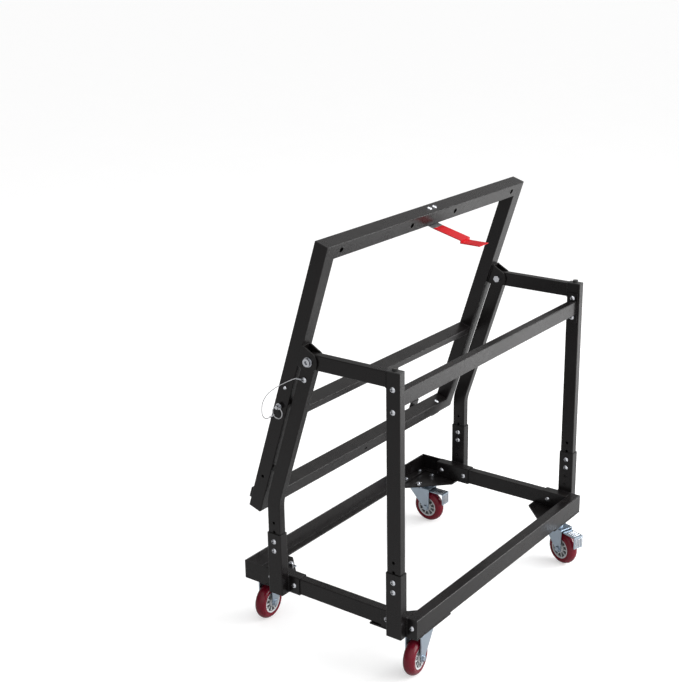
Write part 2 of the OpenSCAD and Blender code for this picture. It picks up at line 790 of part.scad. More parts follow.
// The same line's hollow
module front_leg_hollow(side) {
    x0 = low_x(side, leg_x0 + tube_wall, leg_x1 - tube_wall);
    wide = leg_w - 2 * tube_wall;
    deep = leg_d - 2 * tube_wall;
    span(x0, x0 + wide, front_leg_y - deep / 2, front_leg_y + deep / 2, leg_foot - over, bend_low);
    translate([x0 + wide / 2, front_leg_y - bend_r, bend_low]) rotate([90, 0, 90])
        rotate_extrude(angle = lean) translate([bend_r - deep / 2, -wide / 2]) square([deep, wide]);
    in_frame() span(x0, x0 + wide, -deep / 2, deep / 2, -upper_len, 0);
    in_frame() bar_x(x0, 0, 0, deep / 2, wide);
}

// A front leg, upright at its foot and leaning back to the pivot
module front_leg(side) {
    placed() difference() {
        front_leg_form(side);
        front_leg_hollow(side);
        in_frame() bar_x(low_x(side, leg_x0, leg_x1) - over, 0, 0, bush_r + thread_clear,
            leg_w + 2 * over);
        insert_holes(side, front_leg_y);
        if (side < 0)
            bar_x(-leg_x1 - over, screw_y, screw_z, bolt_r + bolt_clear, over + 2 * tube_wall);
    }
}

module front_leg_left() {
    color(coat) front_leg(-1);
}

module front_leg_right() {
    color(coat) front_leg(1);
}

// A rear leg, open at both ends
module rear_leg(side) {
    placed() difference() {
        tube_z(low_x(side, leg_x0, leg_x1), high_x(side, leg_x0, leg_x1), rear_leg_y - leg_d / 2,
            rear_leg_y + leg_d / 2, leg_foot, arm_top);
        side_span(side, leg_x0 + tube_wall, leg_x1 - tube_wall, rear_leg_y - leg_d / 2 + tube_wall,
            rear_leg_y + leg_d / 2 - tube_wall, leg_foot - over, arm_top + over);
        insert_holes(side, rear_leg_y);
        for (off = [-bar_bolt_off, bar_bolt_off])
            bar_x(low_x(side, leg_x0, leg_x1) - over, rear_leg_y, bar_z + off, bolt_r + bolt_clear,
                leg_w + 2 * over);
    }
}

module rear_leg_left() {
    color(coat) rear_leg(-1);
}

module rear_leg_right() {
    color(coat) rear_leg(1);
}

// An arm from the pivot back to the rear leg, coped round the front leg's top
module arm(side) {
    x0 = low_x(side, leg_x0, leg_x1);
    back = rear_leg_y + leg_d / 2;
    placed() difference() {
        tube_y(x0, x0 + leg_w, back, pivot_y, arm_top - leg_d, arm_top);
        span(x0 + tube_wall, x0 + leg_w - tube_wall, back - over, pivot_y + over,
            arm_top - leg_d + tube_wall, arm_top - tube_wall);
        in_frame() bar_x(x0 - over, 0, 0, leg_d / 2 + thread_clear, leg_w + 2 * over);
        in_frame() span(x0 - over, x0 + leg_w + over, -leg_d / 2, leg_d, -2 * leg_d, 0);
    }
}

module arm_left() {
    color(coat) arm(-1);
}

module arm_right() {
    color(coat) arm(1);
}

// The bar between the rear legs, with a plate at each end
module rear_crossbar() {
    color(coat) placed() difference() {
        union() {
            tube_x(-bar_end, bar_end, bar_back_y, bar_back_y + leg_w, bar_z - leg_d / 2, bar_z + leg_d / 2);
            for (side = [-1, 1])
                side_span(side, bar_end, leg_x0, rear_leg_y - bar_plate_w / 2, rear_leg_y + bar_plate_w / 2,
                    bar_z - bar_plate_h / 2, bar_z + bar_plate_h / 2);
        }
        span(-bar_end, bar_end, bar_back_y + tube_wall, bar_back_y + leg_w - tube_wall,
            bar_z - leg_d / 2 + tube_wall, bar_z + leg_d / 2 - tube_wall);
        bar_x(-leg_x0 - over, rear_leg_y, bar_z, vent_r, 2 * (leg_x0 + over));
        for (side = [-1, 1], off = [-bar_bolt_off, bar_bolt_off])
            bar_x(low_x(side, bar_end, leg_x0) - over, rear_leg_y, bar_z + off, bolt_r + bolt_clear,
                bar_plate_t + 2 * over);
    }
}

// The threaded inserts, flush in the legs' walls towards -X
module threaded_inserts() {
    color(coat) placed()
        for (side = [-1, 1], leg_y = [front_leg_y, rear_leg_y], step = [-1:2])
            translate([low_x(side, leg_x0, leg_x1), leg_y, upper_bolt_z + step * hole_pitch])
                rotate([0, 90, 0]) difference() {
                    cylinder(r = insert_r, h = insert_len);
                    translate([0, 0, -over]) cylinder(r = bolt_r + thread_clear, h = insert_len + 2 * over);
                }
}

// The bolts of the sockets, the sleeves and the rear rail's ends
module base_bolts() {
    end_y = (rear_rail_y - half_wid) / 2;
    color(zinc) placed() {
        for (side = [-1, 1], leg_y = [front_leg_y, rear_leg_y], drop = [0, hole_pitch])
            bolt_x(low_x(side, half_len, socket_x1), leg_y, upper_bolt_z - drop, bolt_len);
        for (side = [-1, 1], y = sleeve_bolt_ys())
            bolt_x(low_x(side, sleeve_in, half_len), y, rail_mid, bolt_len);
        bolt_x(-half_len, end_y, rail_mid, bolt_len);
        translate([half_len, end_y, rail_mid]) rotate([0, -90, 0]) button_bolt(bolt_len);
    }
}

// The crossbar's bolts, each through a leg and a plate, with their nuts
module crossbar_bolts() {
    grip = leg_w + bar_plate_t;
    color(zinc) placed()
        for (side = [-1, 1], off = [-bar_bolt_off, bar_bolt_off])
            translate([low_x(side, bar_end, leg_x1), rear_leg_y, bar_z + off]) rotate([0, 90, 0]) {
                button_bolt(grip + nut_h + bolt_over);
                translate([0, 0, grip]) hex_nut(nut_r, bolt_r + thread_clear, nut_h);
            }
}

// The caster bolts, heads below their plates and nuts on the base
module caster_bolts() {
    color(zinc) placed()
        for (sx = [-1, 1], sy = [-1, 1], px = [-1, 1], py = [-1, 1]) {
            outer = sy == py;
            seat = rail_z0 + (outer ? (sy > 0 ? angle_t : tube_wall) : 0);
            translate([sx * caster_x + px * plate_bolt_x / 2, sy * caster_y + py * plate_bolt_y / 2, 0]) {
                translate([0, 0, plate_z]) button_bolt(seat + nut_h + bolt_over - plate_z);
                translate([0, 0, seat]) hex_nut(nut_r, bolt_r + thread_clear, nut_h);
            }
        }
}

// The plugs in the rear legs' tops
module leg_end_plugs() {
    color(rubber) placed()
        for (side = [-1, 1]) {
            tube_z(low_x(side, leg_x0, leg_x1), high_x(side, leg_x0, leg_x1), rear_leg_y - leg_d / 2,
                rear_leg_y + leg_d / 2, arm_top, arm_top + plug_t);
            side_span(side, leg_x0 + tube_wall, leg_x1 - tube_wall, rear_leg_y - leg_d / 2 + tube_wall,
                rear_leg_y + leg_d / 2 - tube_wall, arm_top - plug_depth, arm_top);
        }
}

// The bumpers on which the sheet frame rests, two when flat and two when steep
module rubber_bumpers() {
    top = pivot_z + frame_gap - bumper_gap;
    color(rubber) placed()
        for (side = [-1, 1]) {
            translate([side * leg_mid_x, rear_leg_y, arm_top + plug_t])
                cylinder(r = bumper_r, h = top - arm_top - plug_t);
            in_frame() bar_y(side * leg_mid_x, leg_d / 2, -leg_bumper_drop, bumper_r,
                frame_gap - bumper_gap - leg_d / 2);
        }
}

// The tab on the left leg that takes the lock pin
module lock_tab() {
    color(coat) placed() in_frame() difference() {
        union() {
            span(-leg_x0, -tab_x0, tab_block_back, tab_block_n, -pin_drop - tab_block_h,
                tab_block_h - pin_drop);
            span(-tab_x0 - tab_t, -tab_x0, tab_block_n, frame_mid, -pin_drop - tab_r, tab_r - pin_drop);
            bar_x(-tab_x0 - tab_t, frame_mid, -pin_drop, tab_r, tab_t);
        }
        bar_x(-tab_x0 - tab_t - over, frame_mid, -pin_drop, pin_r + pin_clear, tab_t + 2 * over);
    }
}

// The screw, eyelet and crimp that hold the lanyard on the leg
module lanyard_screw() {
    color(zinc) placed() {
        translate([eyelet_x, screw_y, screw_z]) rotate([0, 90, 0]) button_bolt(bolt_len);
        difference() {
            union() {
                bar_x(eyelet_x, screw_y, screw_z, head_r, eyelet_t);
                bar_y(lanyard_x0, screw_y + head_r, screw_z, crimp_r, crimp_len);
                span(eyelet_x, -leg_x1, screw_y, screw_y + head_r + crimp_r,
                    screw_z - crimp_r, screw_z + crimp_r);
            }
            bar_x(eyelet_x - over, screw_y, screw_z, bolt_r + thread_clear, eyelet_t + 2 * over);
        }
    }
}

// The bushes in which the pivot bolts turn
module pivot_bushes() {
    color(steel) placed() in_frame()
        for (side = [-1, 1])
            difference() {
                bar_x(low_x(side, leg_x0, leg_x1), 0, 0, bush_r, leg_w);
                bar_x(low_x(side, leg_x0, leg_x1) - over, 0, 0, pivot_r + run_clear, leg_w + 2 * over);
            }
}

// The casters' mounting plates, each with its upper race and kingpin
module caster_top_plates() {
    color(zinc) placed() difference() {
        for (sx = [-1, 1], sy = [-1, 1])
            translate([sx * caster_x, sy * caster_y, 0]) {
                span(-plate_len / 2, plate_len / 2, -plate_wid / 2, plate_wid / 2, plate_z, caster_h);
                translate([0, 0, race_z]) cylinder(r = race_r, h = race_h);
                translate([0, 0, kingpin_z0]) cylinder(r = kingpin_r, h = race_z - kingpin_z0);
                translate([0, 0, kingpin_z0]) cylinder(r = kingpin_head_r, h = kingpin_head_h);
            }
        caster_bolt_holes();
    }
}

// The outline of a side rail with mitred ends, slimmer by an inset
module side_rail_outline(side, inset) {
    polygon([
        [side * (frame_half - inset), inset - frame_down],
        [side * (frame_half - inset), frame_up - inset],
        [side * (frame_in + inset), top_in + inset],
        [side * (frame_in + inset), low_in - inset]
    ]);
}

// The outline of the top or bottom rail with mitred ends, slimmer by an inset
module end_rail_outline(edge, inner, inset) {
    step = inner < edge ? -inset : inset;
    polygon([
        [inset - frame_half, edge + step],
        [frame_half - inset, edge + step],
        [frame_in + inset, inner - step],
        [-frame_in - inset, inner - step]
    ]);
}

// An outline drawn through a depth of the sheet frame, from its rear face
module frame_deep(from, deep) {
    translate([0, frame_gap + from + deep, 0]) rotate([90, 0, 0]) linear_extrude(deep) children();
}

// A side rail of the sheet frame
module frame_side_rail(side) {
    placed() in_frame() difference() {
        intersection() {
            tube_z(low_x(side, frame_in, frame_half), high_x(side, frame_in, frame_half),
                frame_gap, frame_face, -frame_down, frame_up);
            frame_deep(-over, frame_sq + 2 * over) side_rail_outline(side, 0);
        }
        frame_deep(tube_wall, frame_sq - 2 * tube_wall) side_rail_outline(side, tube_wall);
        if (side < 0) {
            bar_x(-frame_half - over, frame_mid, -pin_drop, pin_r + pin_clear, frame_sq + 2 * over);
            bar_x(-frame_half - over, frame_mid, -rail_screw_drop, rail_screw_r + bolt_clear,
                over + 2 * tube_wall);
            bar_x(-frame_half - over, frame_mid, side_hole_up - frame_down, side_hole_r,
                over + 2 * tube_wall);
        }
    }
}

module frame_left_rail() {
    color(coat) frame_side_rail(-1);
}

module frame_right_rail() {
    color(coat) frame_side_rail(1);
}

// The top rail, with its bolting holes and the latch's bolt holes
module frame_top_rail() {
    mid_u = (frame_up + top_in) / 2;
    color(coat) placed() in_frame() difference() {
        intersection() {
            tube_x(-frame_half, frame_half, frame_gap, frame_face, top_in, frame_up);
            frame_deep(-over, frame_sq + 2 * over) end_rail_outline(frame_up, top_in, 0);
        }
        frame_deep(tube_wall, frame_sq - 2 * tube_wall) end_rail_outline(frame_up, top_in, tube_wall);
        for (x = [-hole_out_x, -bolt_hole_in, bolt_hole_in, hole_out_x])
            bar_y(x, frame_gap - over, mid_u, bolt_hole_r, frame_sq + 2 * over);
        for (off = [-latch_bolt_gap / 2, latch_bolt_gap / 2])
            translate([latch_x + off, frame_mid, top_in - over])
                cylinder(r = bolt_r + bolt_clear, h = frame_sq + 2 * over);
    }
}

// The middle rail
module frame_mid_rail() {
    low = -mid_drop - mid_h / 2;
    high = mid_h / 2 - mid_drop;
    color(coat) placed() in_frame() difference() {
        tube_x(-frame_in, frame_in, frame_gap, frame_face, low, high);
        span(-frame_in - over, frame_in + over, frame_gap + tube_wall, frame_face - tube_wall,
            low + tube_wall, high - tube_wall);
    }
}

// The bottom rail, with the panel rests' bolt holes
module frame_bottom_rail() {
    mid_u = (low_in - frame_down) / 2;
    color(coat) placed() in_frame() difference() {
        intersection() {
            tube_x(-frame_half, frame_half, frame_gap, frame_face, -frame_down, low_in);
            frame_deep(-over, frame_sq + 2 * over) end_rail_outline(-frame_down, low_in, 0);
        }
        frame_deep(tube_wall, frame_sq - 2 * tube_wall) end_rail_outline(-frame_down, low_in, tube_wall);
        bar_y(0, frame_gap - over, mid_u, side_hole_r, over + 2 * tube_wall);
        for (side = [-1, 1])
            translate([side * rest_x, frame_gap + rest_bolt_in, -frame_down - over])
                cylinder(r = bolt_r + bolt_clear, h = frame_sq + 2 * over);
    }
}

// A bracket with two ears that straddle a leg's top
module pivot_bracket(side) {
    placed() in_frame() difference() {
        union() {
            side_span(side, ear_in0, ear_out1, frame_gap - ear_t, frame_gap, -web_down, web_up);
            for (x = [ear_in0, ear_out1 - ear_t]) {
                along_x(low_x(side, x, x + ear_t), ear_t) polygon([
                    [0, -ear_r], [frame_gap, -web_down], [frame_gap, web_up], [0, ear_r]
                ]);
                bar_x(low_x(side, x, x + ear_t), 0, 0, ear_r, ear_t);
            }
        }
        bar_x(low_x(side, ear_in0, ear_out1) - over, 0, 0, pivot_r + run_clear,
            ear_out1 - ear_in0 + 2 * over);
    }
}

module pivot_bracket_left() {
    color(coat) pivot_bracket(-1);
}

module pivot_bracket_right() {
    color(coat) pivot_bracket(1);
}

// The pivot bolts, each with a washer under its head and a nut inside
module pivot_bolts() {
    long = ear_out1 - ear_in0 + washer_t + pivot_nut_h;
    color(zinc) placed() in_frame()
        for (side = [-1, 1])
            translate([side * (ear_out1 + washer_t), 0, 0]) rotate([0, -90 * side, 0]) {
                cylinder(r = pivot_r, h = long);
                difference() {
                    translate([0, 0, -pivot_head_h]) cylinder(r = pivot_head_r, h = pivot_head_h);
                    translate([0, 0, -pivot_head_h - over])
                        cylinder(r = pivot_socket_r, h = pivot_socket_deep + over, $fn = 6);
                }
                difference() {
                    cylinder(r = washer_r, h = washer_t);
                    translate([0, 0, -over]) cylinder(r = pivot_r + thread_clear, h = washer_t + 2 * over);
                }
                translate([0, 0, long - pivot_nut_h])
                    hex_nut(pivot_head_r, pivot_r + thread_clear, pivot_nut_h);
            }
}

// A hooked plate under the bottom rail that holds up a sheet's lower edge
module panel_rest(side) {
    back = frame_gap + rest_inset;
    drop_n = frame_face - rest_inset;
    low = -frame_down - rest_drop;
    x0 = low_x(side, rest_x - rest_w / 2, rest_x + rest_w / 2);
    placed() in_frame() difference() {
        along_x(x0, rest_w) polygon([
            [back, -frame_down], [drop_n, -frame_down], [drop_n, low + rest_t],
            [rest_front - rest_t, low + rest_t], [rest_front - rest_t, low + rest_lip],
            [rest_front, low + rest_lip], [rest_front, low], [drop_n - rest_t, low],
            [drop_n - rest_t, -frame_down - rest_t], [back, -frame_down - rest_t]
        ]);
        translate([side * rest_x, frame_gap + rest_bolt_in, -frame_down - rest_t - over])
            cylinder(r = bolt_r + bolt_clear, h = rest_t + 2 * over);
    }
}

module panel_rest_left() {
    color(coat) panel_rest(-1);
}

module panel_rest_right() {
    color(coat) panel_rest(1);
}

// The panel rests' bolts with their nuts, and the left rail's small screw
module frame_bolts() {
    grip = frame_sq + rest_t;
    color(zinc) placed() in_frame() {
        for (side = [-1, 1])
            translate([side * rest_x, frame_gap + rest_bolt_in, low_in]) rotate([180, 0, 0]) {
                button_bolt(grip + nut_h + bolt_over);
                translate([0, 0, grip]) hex_nut(nut_r, bolt_r + thread_clear, nut_h);
            }
        translate([-frame_half, frame_mid, -rail_screw_drop]) rotate([0, 90, 0]) {
            cylinder(r = rail_screw_r, h = rail_screw_len);
            translate([0, 0, -rail_screw_head_h]) cylinder(r1 = rail_screw_head_r * head_top_share,
                r2 = rail_screw_head_r, h = rail_screw_head_h);
        }
    }
}

// The leaf under the top rail that carries the latch
module latch_leaf() {
    root = latch_line[0][0] + flex_gap;
    color(steel) placed() in_frame() difference() {
        span(latch_x - latch_w / 2, latch_x + latch_w / 2, root, frame_mid + frame_sq / 3,
            top_in - latch_t, top_in);
        for (off = [-latch_bolt_gap / 2, latch_bolt_gap / 2])
            translate([latch_x + off, frame_mid, top_in - latch_t - over])
                cylinder(r = bolt_r + bolt_clear, h = latch_t + 2 * over);
    }
}

// The latch's bolts, heads on the top rail and nuts under the leaf
module latch_bolts() {
    grip = frame_sq + latch_t;
    color(zinc) placed() in_frame()
        for (off = [-latch_bolt_gap / 2, latch_bolt_gap / 2])
            translate([latch_x + off, frame_mid, frame_up]) rotate([180, 0, 0]) {
                button_bolt(grip + nut_h + bolt_over);
                translate([0, 0, grip]) hex_nut(nut_r, bolt_r + thread_clear, nut_h);
            }
}

// The springy tongue that hooks under the crossbar
module latch_tongue() {
    color(red) placed() in_frame() along_x(latch_x - latch_w / 2, latch_w) polygon(concat(
        [for (i = [0:latch_last]) latch_edge(i, 1)],
        [for (i = [latch_last:-1:0]) latch_edge(i, -1)]
    ));
}

// The lock pin, with a shoulder and an eye for its ring
module lock_pin() {
    color(zinc) placed() difference() {
        union() {
            bar_x(pin_collar_x, pin_y, pin_z, pin_r, pin_tip_x - pin_collar_x - 2 * pin_short);
            bar_x(pin_collar_x - pin_collar_t, pin_y, pin_z, pin_collar_r, pin_collar_t);
            bar_x(pin_end_x, pin_y, pin_z, pin_eye_r, pin_eye_len);
        }
        ring_round(ring_wire_r + ring_clear);
    }
}

// The pull ring's round wire
module ring_round(wire_r) {
    translate([pin_eye_x, pin_y, ring_z]) rotate([0, 90, 0])
        rotate_extrude() translate([ring_r, 0]) circle(r = wire_r);
}

// The pull ring, with the lanyard's small loop and crimp on it
module pin_ring() {
    color(steel) placed() {
        ring_round(ring_wire_r);
        translate([pin_eye_x, pin_y, ring_z]) rotate([loop_turn, 0, 0]) translate([0, ring_r, 0])
            rotate([0, 0, crimp_turn]) {
                translate([0, loop_shift, 0]) rotate_extrude() translate([loop_r, 0]) circle(r = lanyard_r);
                bar_y(0, crimp_from, 0, crimp_r, ring_crimp_len);
            }
    }
}

// Points on a smooth line through the lanyard's route
function catmull(a, b, c, d, t) = 0.5 * (2 * b + (c - a) * t + (2 * a - 5 * b + 4 * c - d) * t * t
    + (3 * b - a - 3 * c + d) * t * t * t);
way_last = len(lanyard_points) - 1;
way_steps = 4;
lanyard_line = concat(
    [for (i = [0:way_last - 1], s = [0:way_steps - 1]) catmull(
        lanyard_points[max(i - 1, 0)], lanyard_points[i], lanyard_points[i + 1],
        lanyard_points[min(i + 2, way_last)], s / way_steps)],
    [lanyard_points[way_last]]
);
cord_sides = 8;
line_last = len(lanyard_line) - 1;
function heading(i) = i == 0 ? [0, 1, 0] : i == line_last ? -crimp_way
    : unit(lanyard_line[i + 1] - lanyard_line[i - 1]);
function side_way(i) = unit(cross(heading(i), [1, 0, 0]));
function up_way(i) = cross(side_way(i), heading(i));
cord_points = [
    for (i = [0:line_last], k = [0:cord_sides - 1])
        lanyard_line[i] + lanyard_r * (cos(k * 360 / cord_sides) * side_way(i)
            + sin(k * 360 / cord_sides) * up_way(i))
];
cord_faces = concat(
    [[for (k = [0:cord_sides - 1]) k]],
    [for (i = [0:line_last - 1], k = [0:cord_sides - 1]) [
        i * cord_sides + k, (i + 1) * cord_sides + k,
        (i + 1) * cord_sides + (k + 1) % cord_sides, i * cord_sides + (k + 1) % cord_sides
    ]],
    [[for (k = [cord_sides - 1:-1:0]) line_last * cord_sides + k]]
);

// The wire lanyard between the leg and the pull ring
module pin_lanyard() {
    color(steel) placed() polyhedron(points = cord_points, faces = cord_faces);
}

// A caster's own place and heading
module at_caster(sx, sy, turn) {
    placed() translate([sx * caster_x, sy * caster_y, 0]) rotate([0, 0, turn]) children();
}

// A caster fork with its axle, and a pedal pin where it has a brake
module caster_fork(braked) {
    difference() {
        union() {
            span(-fork_back, fork_front, -fork_out, fork_out, crown_z0, crown_z0 + fork_t);
            translate([0, 0, crown_z0]) cylinder(r = race_r, h = cup_h + fork_t);
            for (y = [-fork_out, fork_in]) {
                translate([0, y + fork_t, 0]) rotate([90, 0, 0]) linear_extrude(fork_t) polygon([
                    [-fork_back, crown_z0 + fork_t], [fork_front, crown_z0 + fork_t],
                    [trail + fork_boss_r, axle_z], [trail - fork_boss_r, axle_z]
                ]);
                bar_y(trail, y, axle_z, fork_boss_r, fork_t);
            }
        }
        translate([0, 0, crown_z0 - over]) cylinder(r = kingpin_r + run_clear, h = 2 * over + cup_h + fork_t);
        bar_y(trail, -fork_out - over, axle_z, axle_r + run_clear, 2 * (fork_out + over));
        if (braked)
            bar_y(pedal_x, -fork_out - over, pedal_axis_z, pedal_pin_r + run_clear, 2 * (fork_out + over));
    }
    bar_y(trail, -fork_out, axle_z, axle_r, 2 * fork_out);
    for (y = [-fork_out - axle_head_h, fork_out])
        translate([trail, y, axle_z]) rotate([-90, 0, 0])
            cylinder(r = axle_head_r, h = axle_head_h, $fn = 6);
    if (braked)
        bar_y(pedal_x, -fork_out, pedal_axis_z, pedal_pin_r, 2 * fork_out);
}

module caster_fork_front_left() {
    color(zinc) at_caster(-1, 1, heading_front_left) caster_fork(false);
}

module caster_fork_rear_left() {
    color(zinc) at_caster(-1, -1, heading_rear_left) caster_fork(false);
}

module caster_fork_rear_right() {
    color(zinc) at_caster(1, -1, heading_rear_right) caster_fork(true);
}

module caster_fork_front_right() {
    color(zinc) at_caster(1, 1, heading_front_right) caster_fork(true);
}

// A wheel's hub, turned about its axle
module wheel_hub() {
    bore = axle_r + run_clear;
    rim = hub_r - hub_rim;
    rim_half = tread_w / 2 - hub_set;
    rib_half = rim_half - hub_set;
    translate([trail, 0, axle_z]) rotate([90, 0, 0]) {
        rotate_extrude() polygon([
            [bore, -hub_half], [hub_boss_r, -hub_half], [hub_boss_r, -hub_web / 2], [rim, -hub_web / 2],
            [rim, -rim_half], [hub_r, -rim_half], [hub_r, rim_half], [rim, rim_half],
            [rim, hub_web / 2], [hub_boss_r, hub_web / 2], [hub_boss_r, hub_half], [bore, hub_half]
        ]);
        for (k = [0:rib_count - 1])
            rotate([0, 0, 360 * k / rib_count])
                span(hub_boss_r - over, rim + over, -rib_t / 2, rib_t / 2, -rib_half, rib_half);
    }
}

module wheel_hub_front_left() {
    color(grey) at_caster(-1, 1, heading_front_left) wheel_hub();
}

module wheel_hub_rear_left() {
    color(grey) at_caster(-1, -1, heading_rear_left) wheel_hub();
}

module wheel_hub_rear_right() {
    color(grey) at_caster(1, -1, heading_rear_right) wheel_hub();
}

module wheel_hub_front_right() {
    color(grey) at_caster(1, 1, heading_front_right) wheel_hub();
}

// A wheel's tread with a round crown
module wheel_tread() {
    translate([trail, 0, axle_z]) rotate([90, 0, 0]) rotate_extrude() intersection() {
        translate([hub_r + bond_gap, -tread_w / 2]) square([tread_t, tread_w]);
        translate([wheel_r - crown_r, 0]) circle(r = crown_r);
    }
}

module wheel_tread_front_left() {
    color(crimson) at_caster(-1, 1, heading_front_left) wheel_tread();
}

module wheel_tread_rear_left() {
    color(crimson) at_caster(-1, -1, heading_rear_left) wheel_tread();
}

module wheel_tread_rear_right() {
    color(crimson) at_caster(1, -1, heading_rear_right) wheel_tread();
}

module wheel_tread_front_right() {
    color(crimson) at_caster(1, 1, heading_front_right) wheel_tread();
}

// A brake pedal over its wheel, with a bent end
module brake_pedal() {
    difference() {
        union() {
            span(pedal_x, pedal_reach, -pedal_w / 2, pedal_w / 2, pedal_z, pedal_z + pedal_t);
            span(pedal_reach - pedal_t, pedal_reach, -pedal_w / 2, pedal_w / 2,
                pedal_z - pedal_drop, pedal_z + pedal_t);
            bar_y(pedal_x, -pedal_w / 2, pedal_axis_z, pedal_barrel_r, pedal_w);
        }
        bar_y(pedal_x, -pedal_w / 2 - over, pedal_axis_z, pedal_pin_r + run_clear, pedal_w + 2 * over);
    }
}

module brake_pedal_rear_right() {
    color(zinc) at_caster(1, -1, heading_rear_right) brake_pedal();
}

module brake_pedal_front_right() {
    color(zinc) at_caster(1, 1, heading_front_right) brake_pedal();
}

base_front_rail();
base_front_return_left();
base_front_return_right();
base_rear_rail();
base_cross_tube_left();
base_cross_tube_right();
leg_socket_front_left();
leg_socket_front_right();
leg_socket_rear_left();
leg_socket_rear_right();
caster_gussets();
front_leg_left();
front_leg_right();
rear_leg_left();
rear_leg_right();
arm_left();
arm_right();
rear_crossbar();
threaded_inserts();
base_bolts();
crossbar_bolts();
caster_bolts();
leg_end_plugs();
rubber_bumpers();
lock_tab();
lanyard_screw();
pivot_bushes();
caster_top_plates();
frame_left_rail();
frame_right_rail();
frame_top_rail();
frame_mid_rail();
frame_bottom_rail();
pivot_bracket_left();
pivot_bracket_right();
pivot_bolts();
panel_rest_left();
panel_rest_right();
frame_bolts();
latch_leaf();
latch_bolts();
pin_lanyard();
latch_tongue();
lock_pin();
pin_ring();
caster_fork_front_left();
caster_fork_rear_left();
caster_fork_rear_right();
caster_fork_front_right();
wheel_hub_front_left();
wheel_hub_rear_left();
wheel_hub_rear_right();
wheel_hub_front_right();
wheel_tread_front_left();
wheel_tread_rear_left();
wheel_tread_rear_right();
wheel_tread_front_right();
brake_pedal_rear_right();
brake_pedal_front_right();
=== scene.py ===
"""Dress the drywall cart: finishes, wire lanyard, weld beads and pedal ribs, in a pale studio."""
import json
import logging
import math
from dataclasses import dataclass, field
from enum import Enum

import bpy
from mathutils import Matrix, Vector


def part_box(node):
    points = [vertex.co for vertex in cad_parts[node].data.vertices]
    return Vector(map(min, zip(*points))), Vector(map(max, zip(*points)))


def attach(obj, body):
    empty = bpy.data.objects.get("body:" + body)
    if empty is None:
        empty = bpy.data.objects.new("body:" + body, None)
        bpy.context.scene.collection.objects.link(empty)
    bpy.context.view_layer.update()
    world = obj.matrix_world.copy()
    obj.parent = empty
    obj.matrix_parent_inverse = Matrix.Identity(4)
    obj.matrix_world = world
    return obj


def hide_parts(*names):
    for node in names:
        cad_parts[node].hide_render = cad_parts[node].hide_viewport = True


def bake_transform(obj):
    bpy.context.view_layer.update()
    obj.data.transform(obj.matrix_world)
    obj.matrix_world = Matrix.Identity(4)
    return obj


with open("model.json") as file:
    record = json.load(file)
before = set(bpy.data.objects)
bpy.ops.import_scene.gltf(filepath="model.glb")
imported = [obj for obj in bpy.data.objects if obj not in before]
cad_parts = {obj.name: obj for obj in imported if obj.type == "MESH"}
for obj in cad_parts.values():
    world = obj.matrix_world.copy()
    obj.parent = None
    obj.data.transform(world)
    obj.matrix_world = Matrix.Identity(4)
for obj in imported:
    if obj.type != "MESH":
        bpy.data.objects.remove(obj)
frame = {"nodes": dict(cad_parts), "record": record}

LOG = logging.getLogger("drywall_cart")
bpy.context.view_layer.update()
MM = 0.001
WHITE = (1.0, 1.0, 1.0, 1.0)
DUST_COLOUR = (0.62, 0.60, 0.57)
# Near-black colour of the painted shade in sockets and narrow corners.
PAINTED_SHADE_COLOUR = (0.012, 0.011, 0.010)
Colour = tuple[float, float, float]
Point = tuple[float, float, float]


class Body(str, Enum):
    """The bodies of the cart that carry new pieces."""

    CHASSIS = "chassis"
    SHEET_FRAME = "sheet_frame"
    TILT_LOCK = "tilt_lock"
    BRAKE_REAR_RIGHT = "brake_rear_right"
    BRAKE_FRONT_RIGHT = "brake_front_right"


@dataclass(frozen=True)
class CartFrame:
    """The cart's own directions and main sizes, in millimetres."""

    lean_deg: float = 18.0
    shift_x: float = 2.1
    shift_y: float = 26.275564
    pivot_y: float = 16.4
    pivot_z: float = 771.5

    def plain(self, x: float, y: float, z: float) -> Vector:
        """Place a point given on the base.

        Args:
            x: Distance along the long rails.
            y: Distance across the long rails.
            z: Height above the floor.

        Returns:
            The point in metres.
        """
        return Vector((x + self.shift_x, y + self.shift_y, z)) * MM

    def leaning(self, x: float, n: float, u: float) -> Vector:
        """Place a point given on the leaning sheet frame.

        Args:
            x: Distance along the long rails.
            n: Distance from the pivot across the frame's face.
            u: Distance from the pivot up along the frame.

        Returns:
            The point in metres.
        """
        c, s = math.cos(math.radians(self.lean_deg)), math.sin(math.radians(self.lean_deg))
        return self.plain(x, self.pivot_y + n * c - u * s, self.pivot_z + n * s + u * c)


CART = CartFrame()


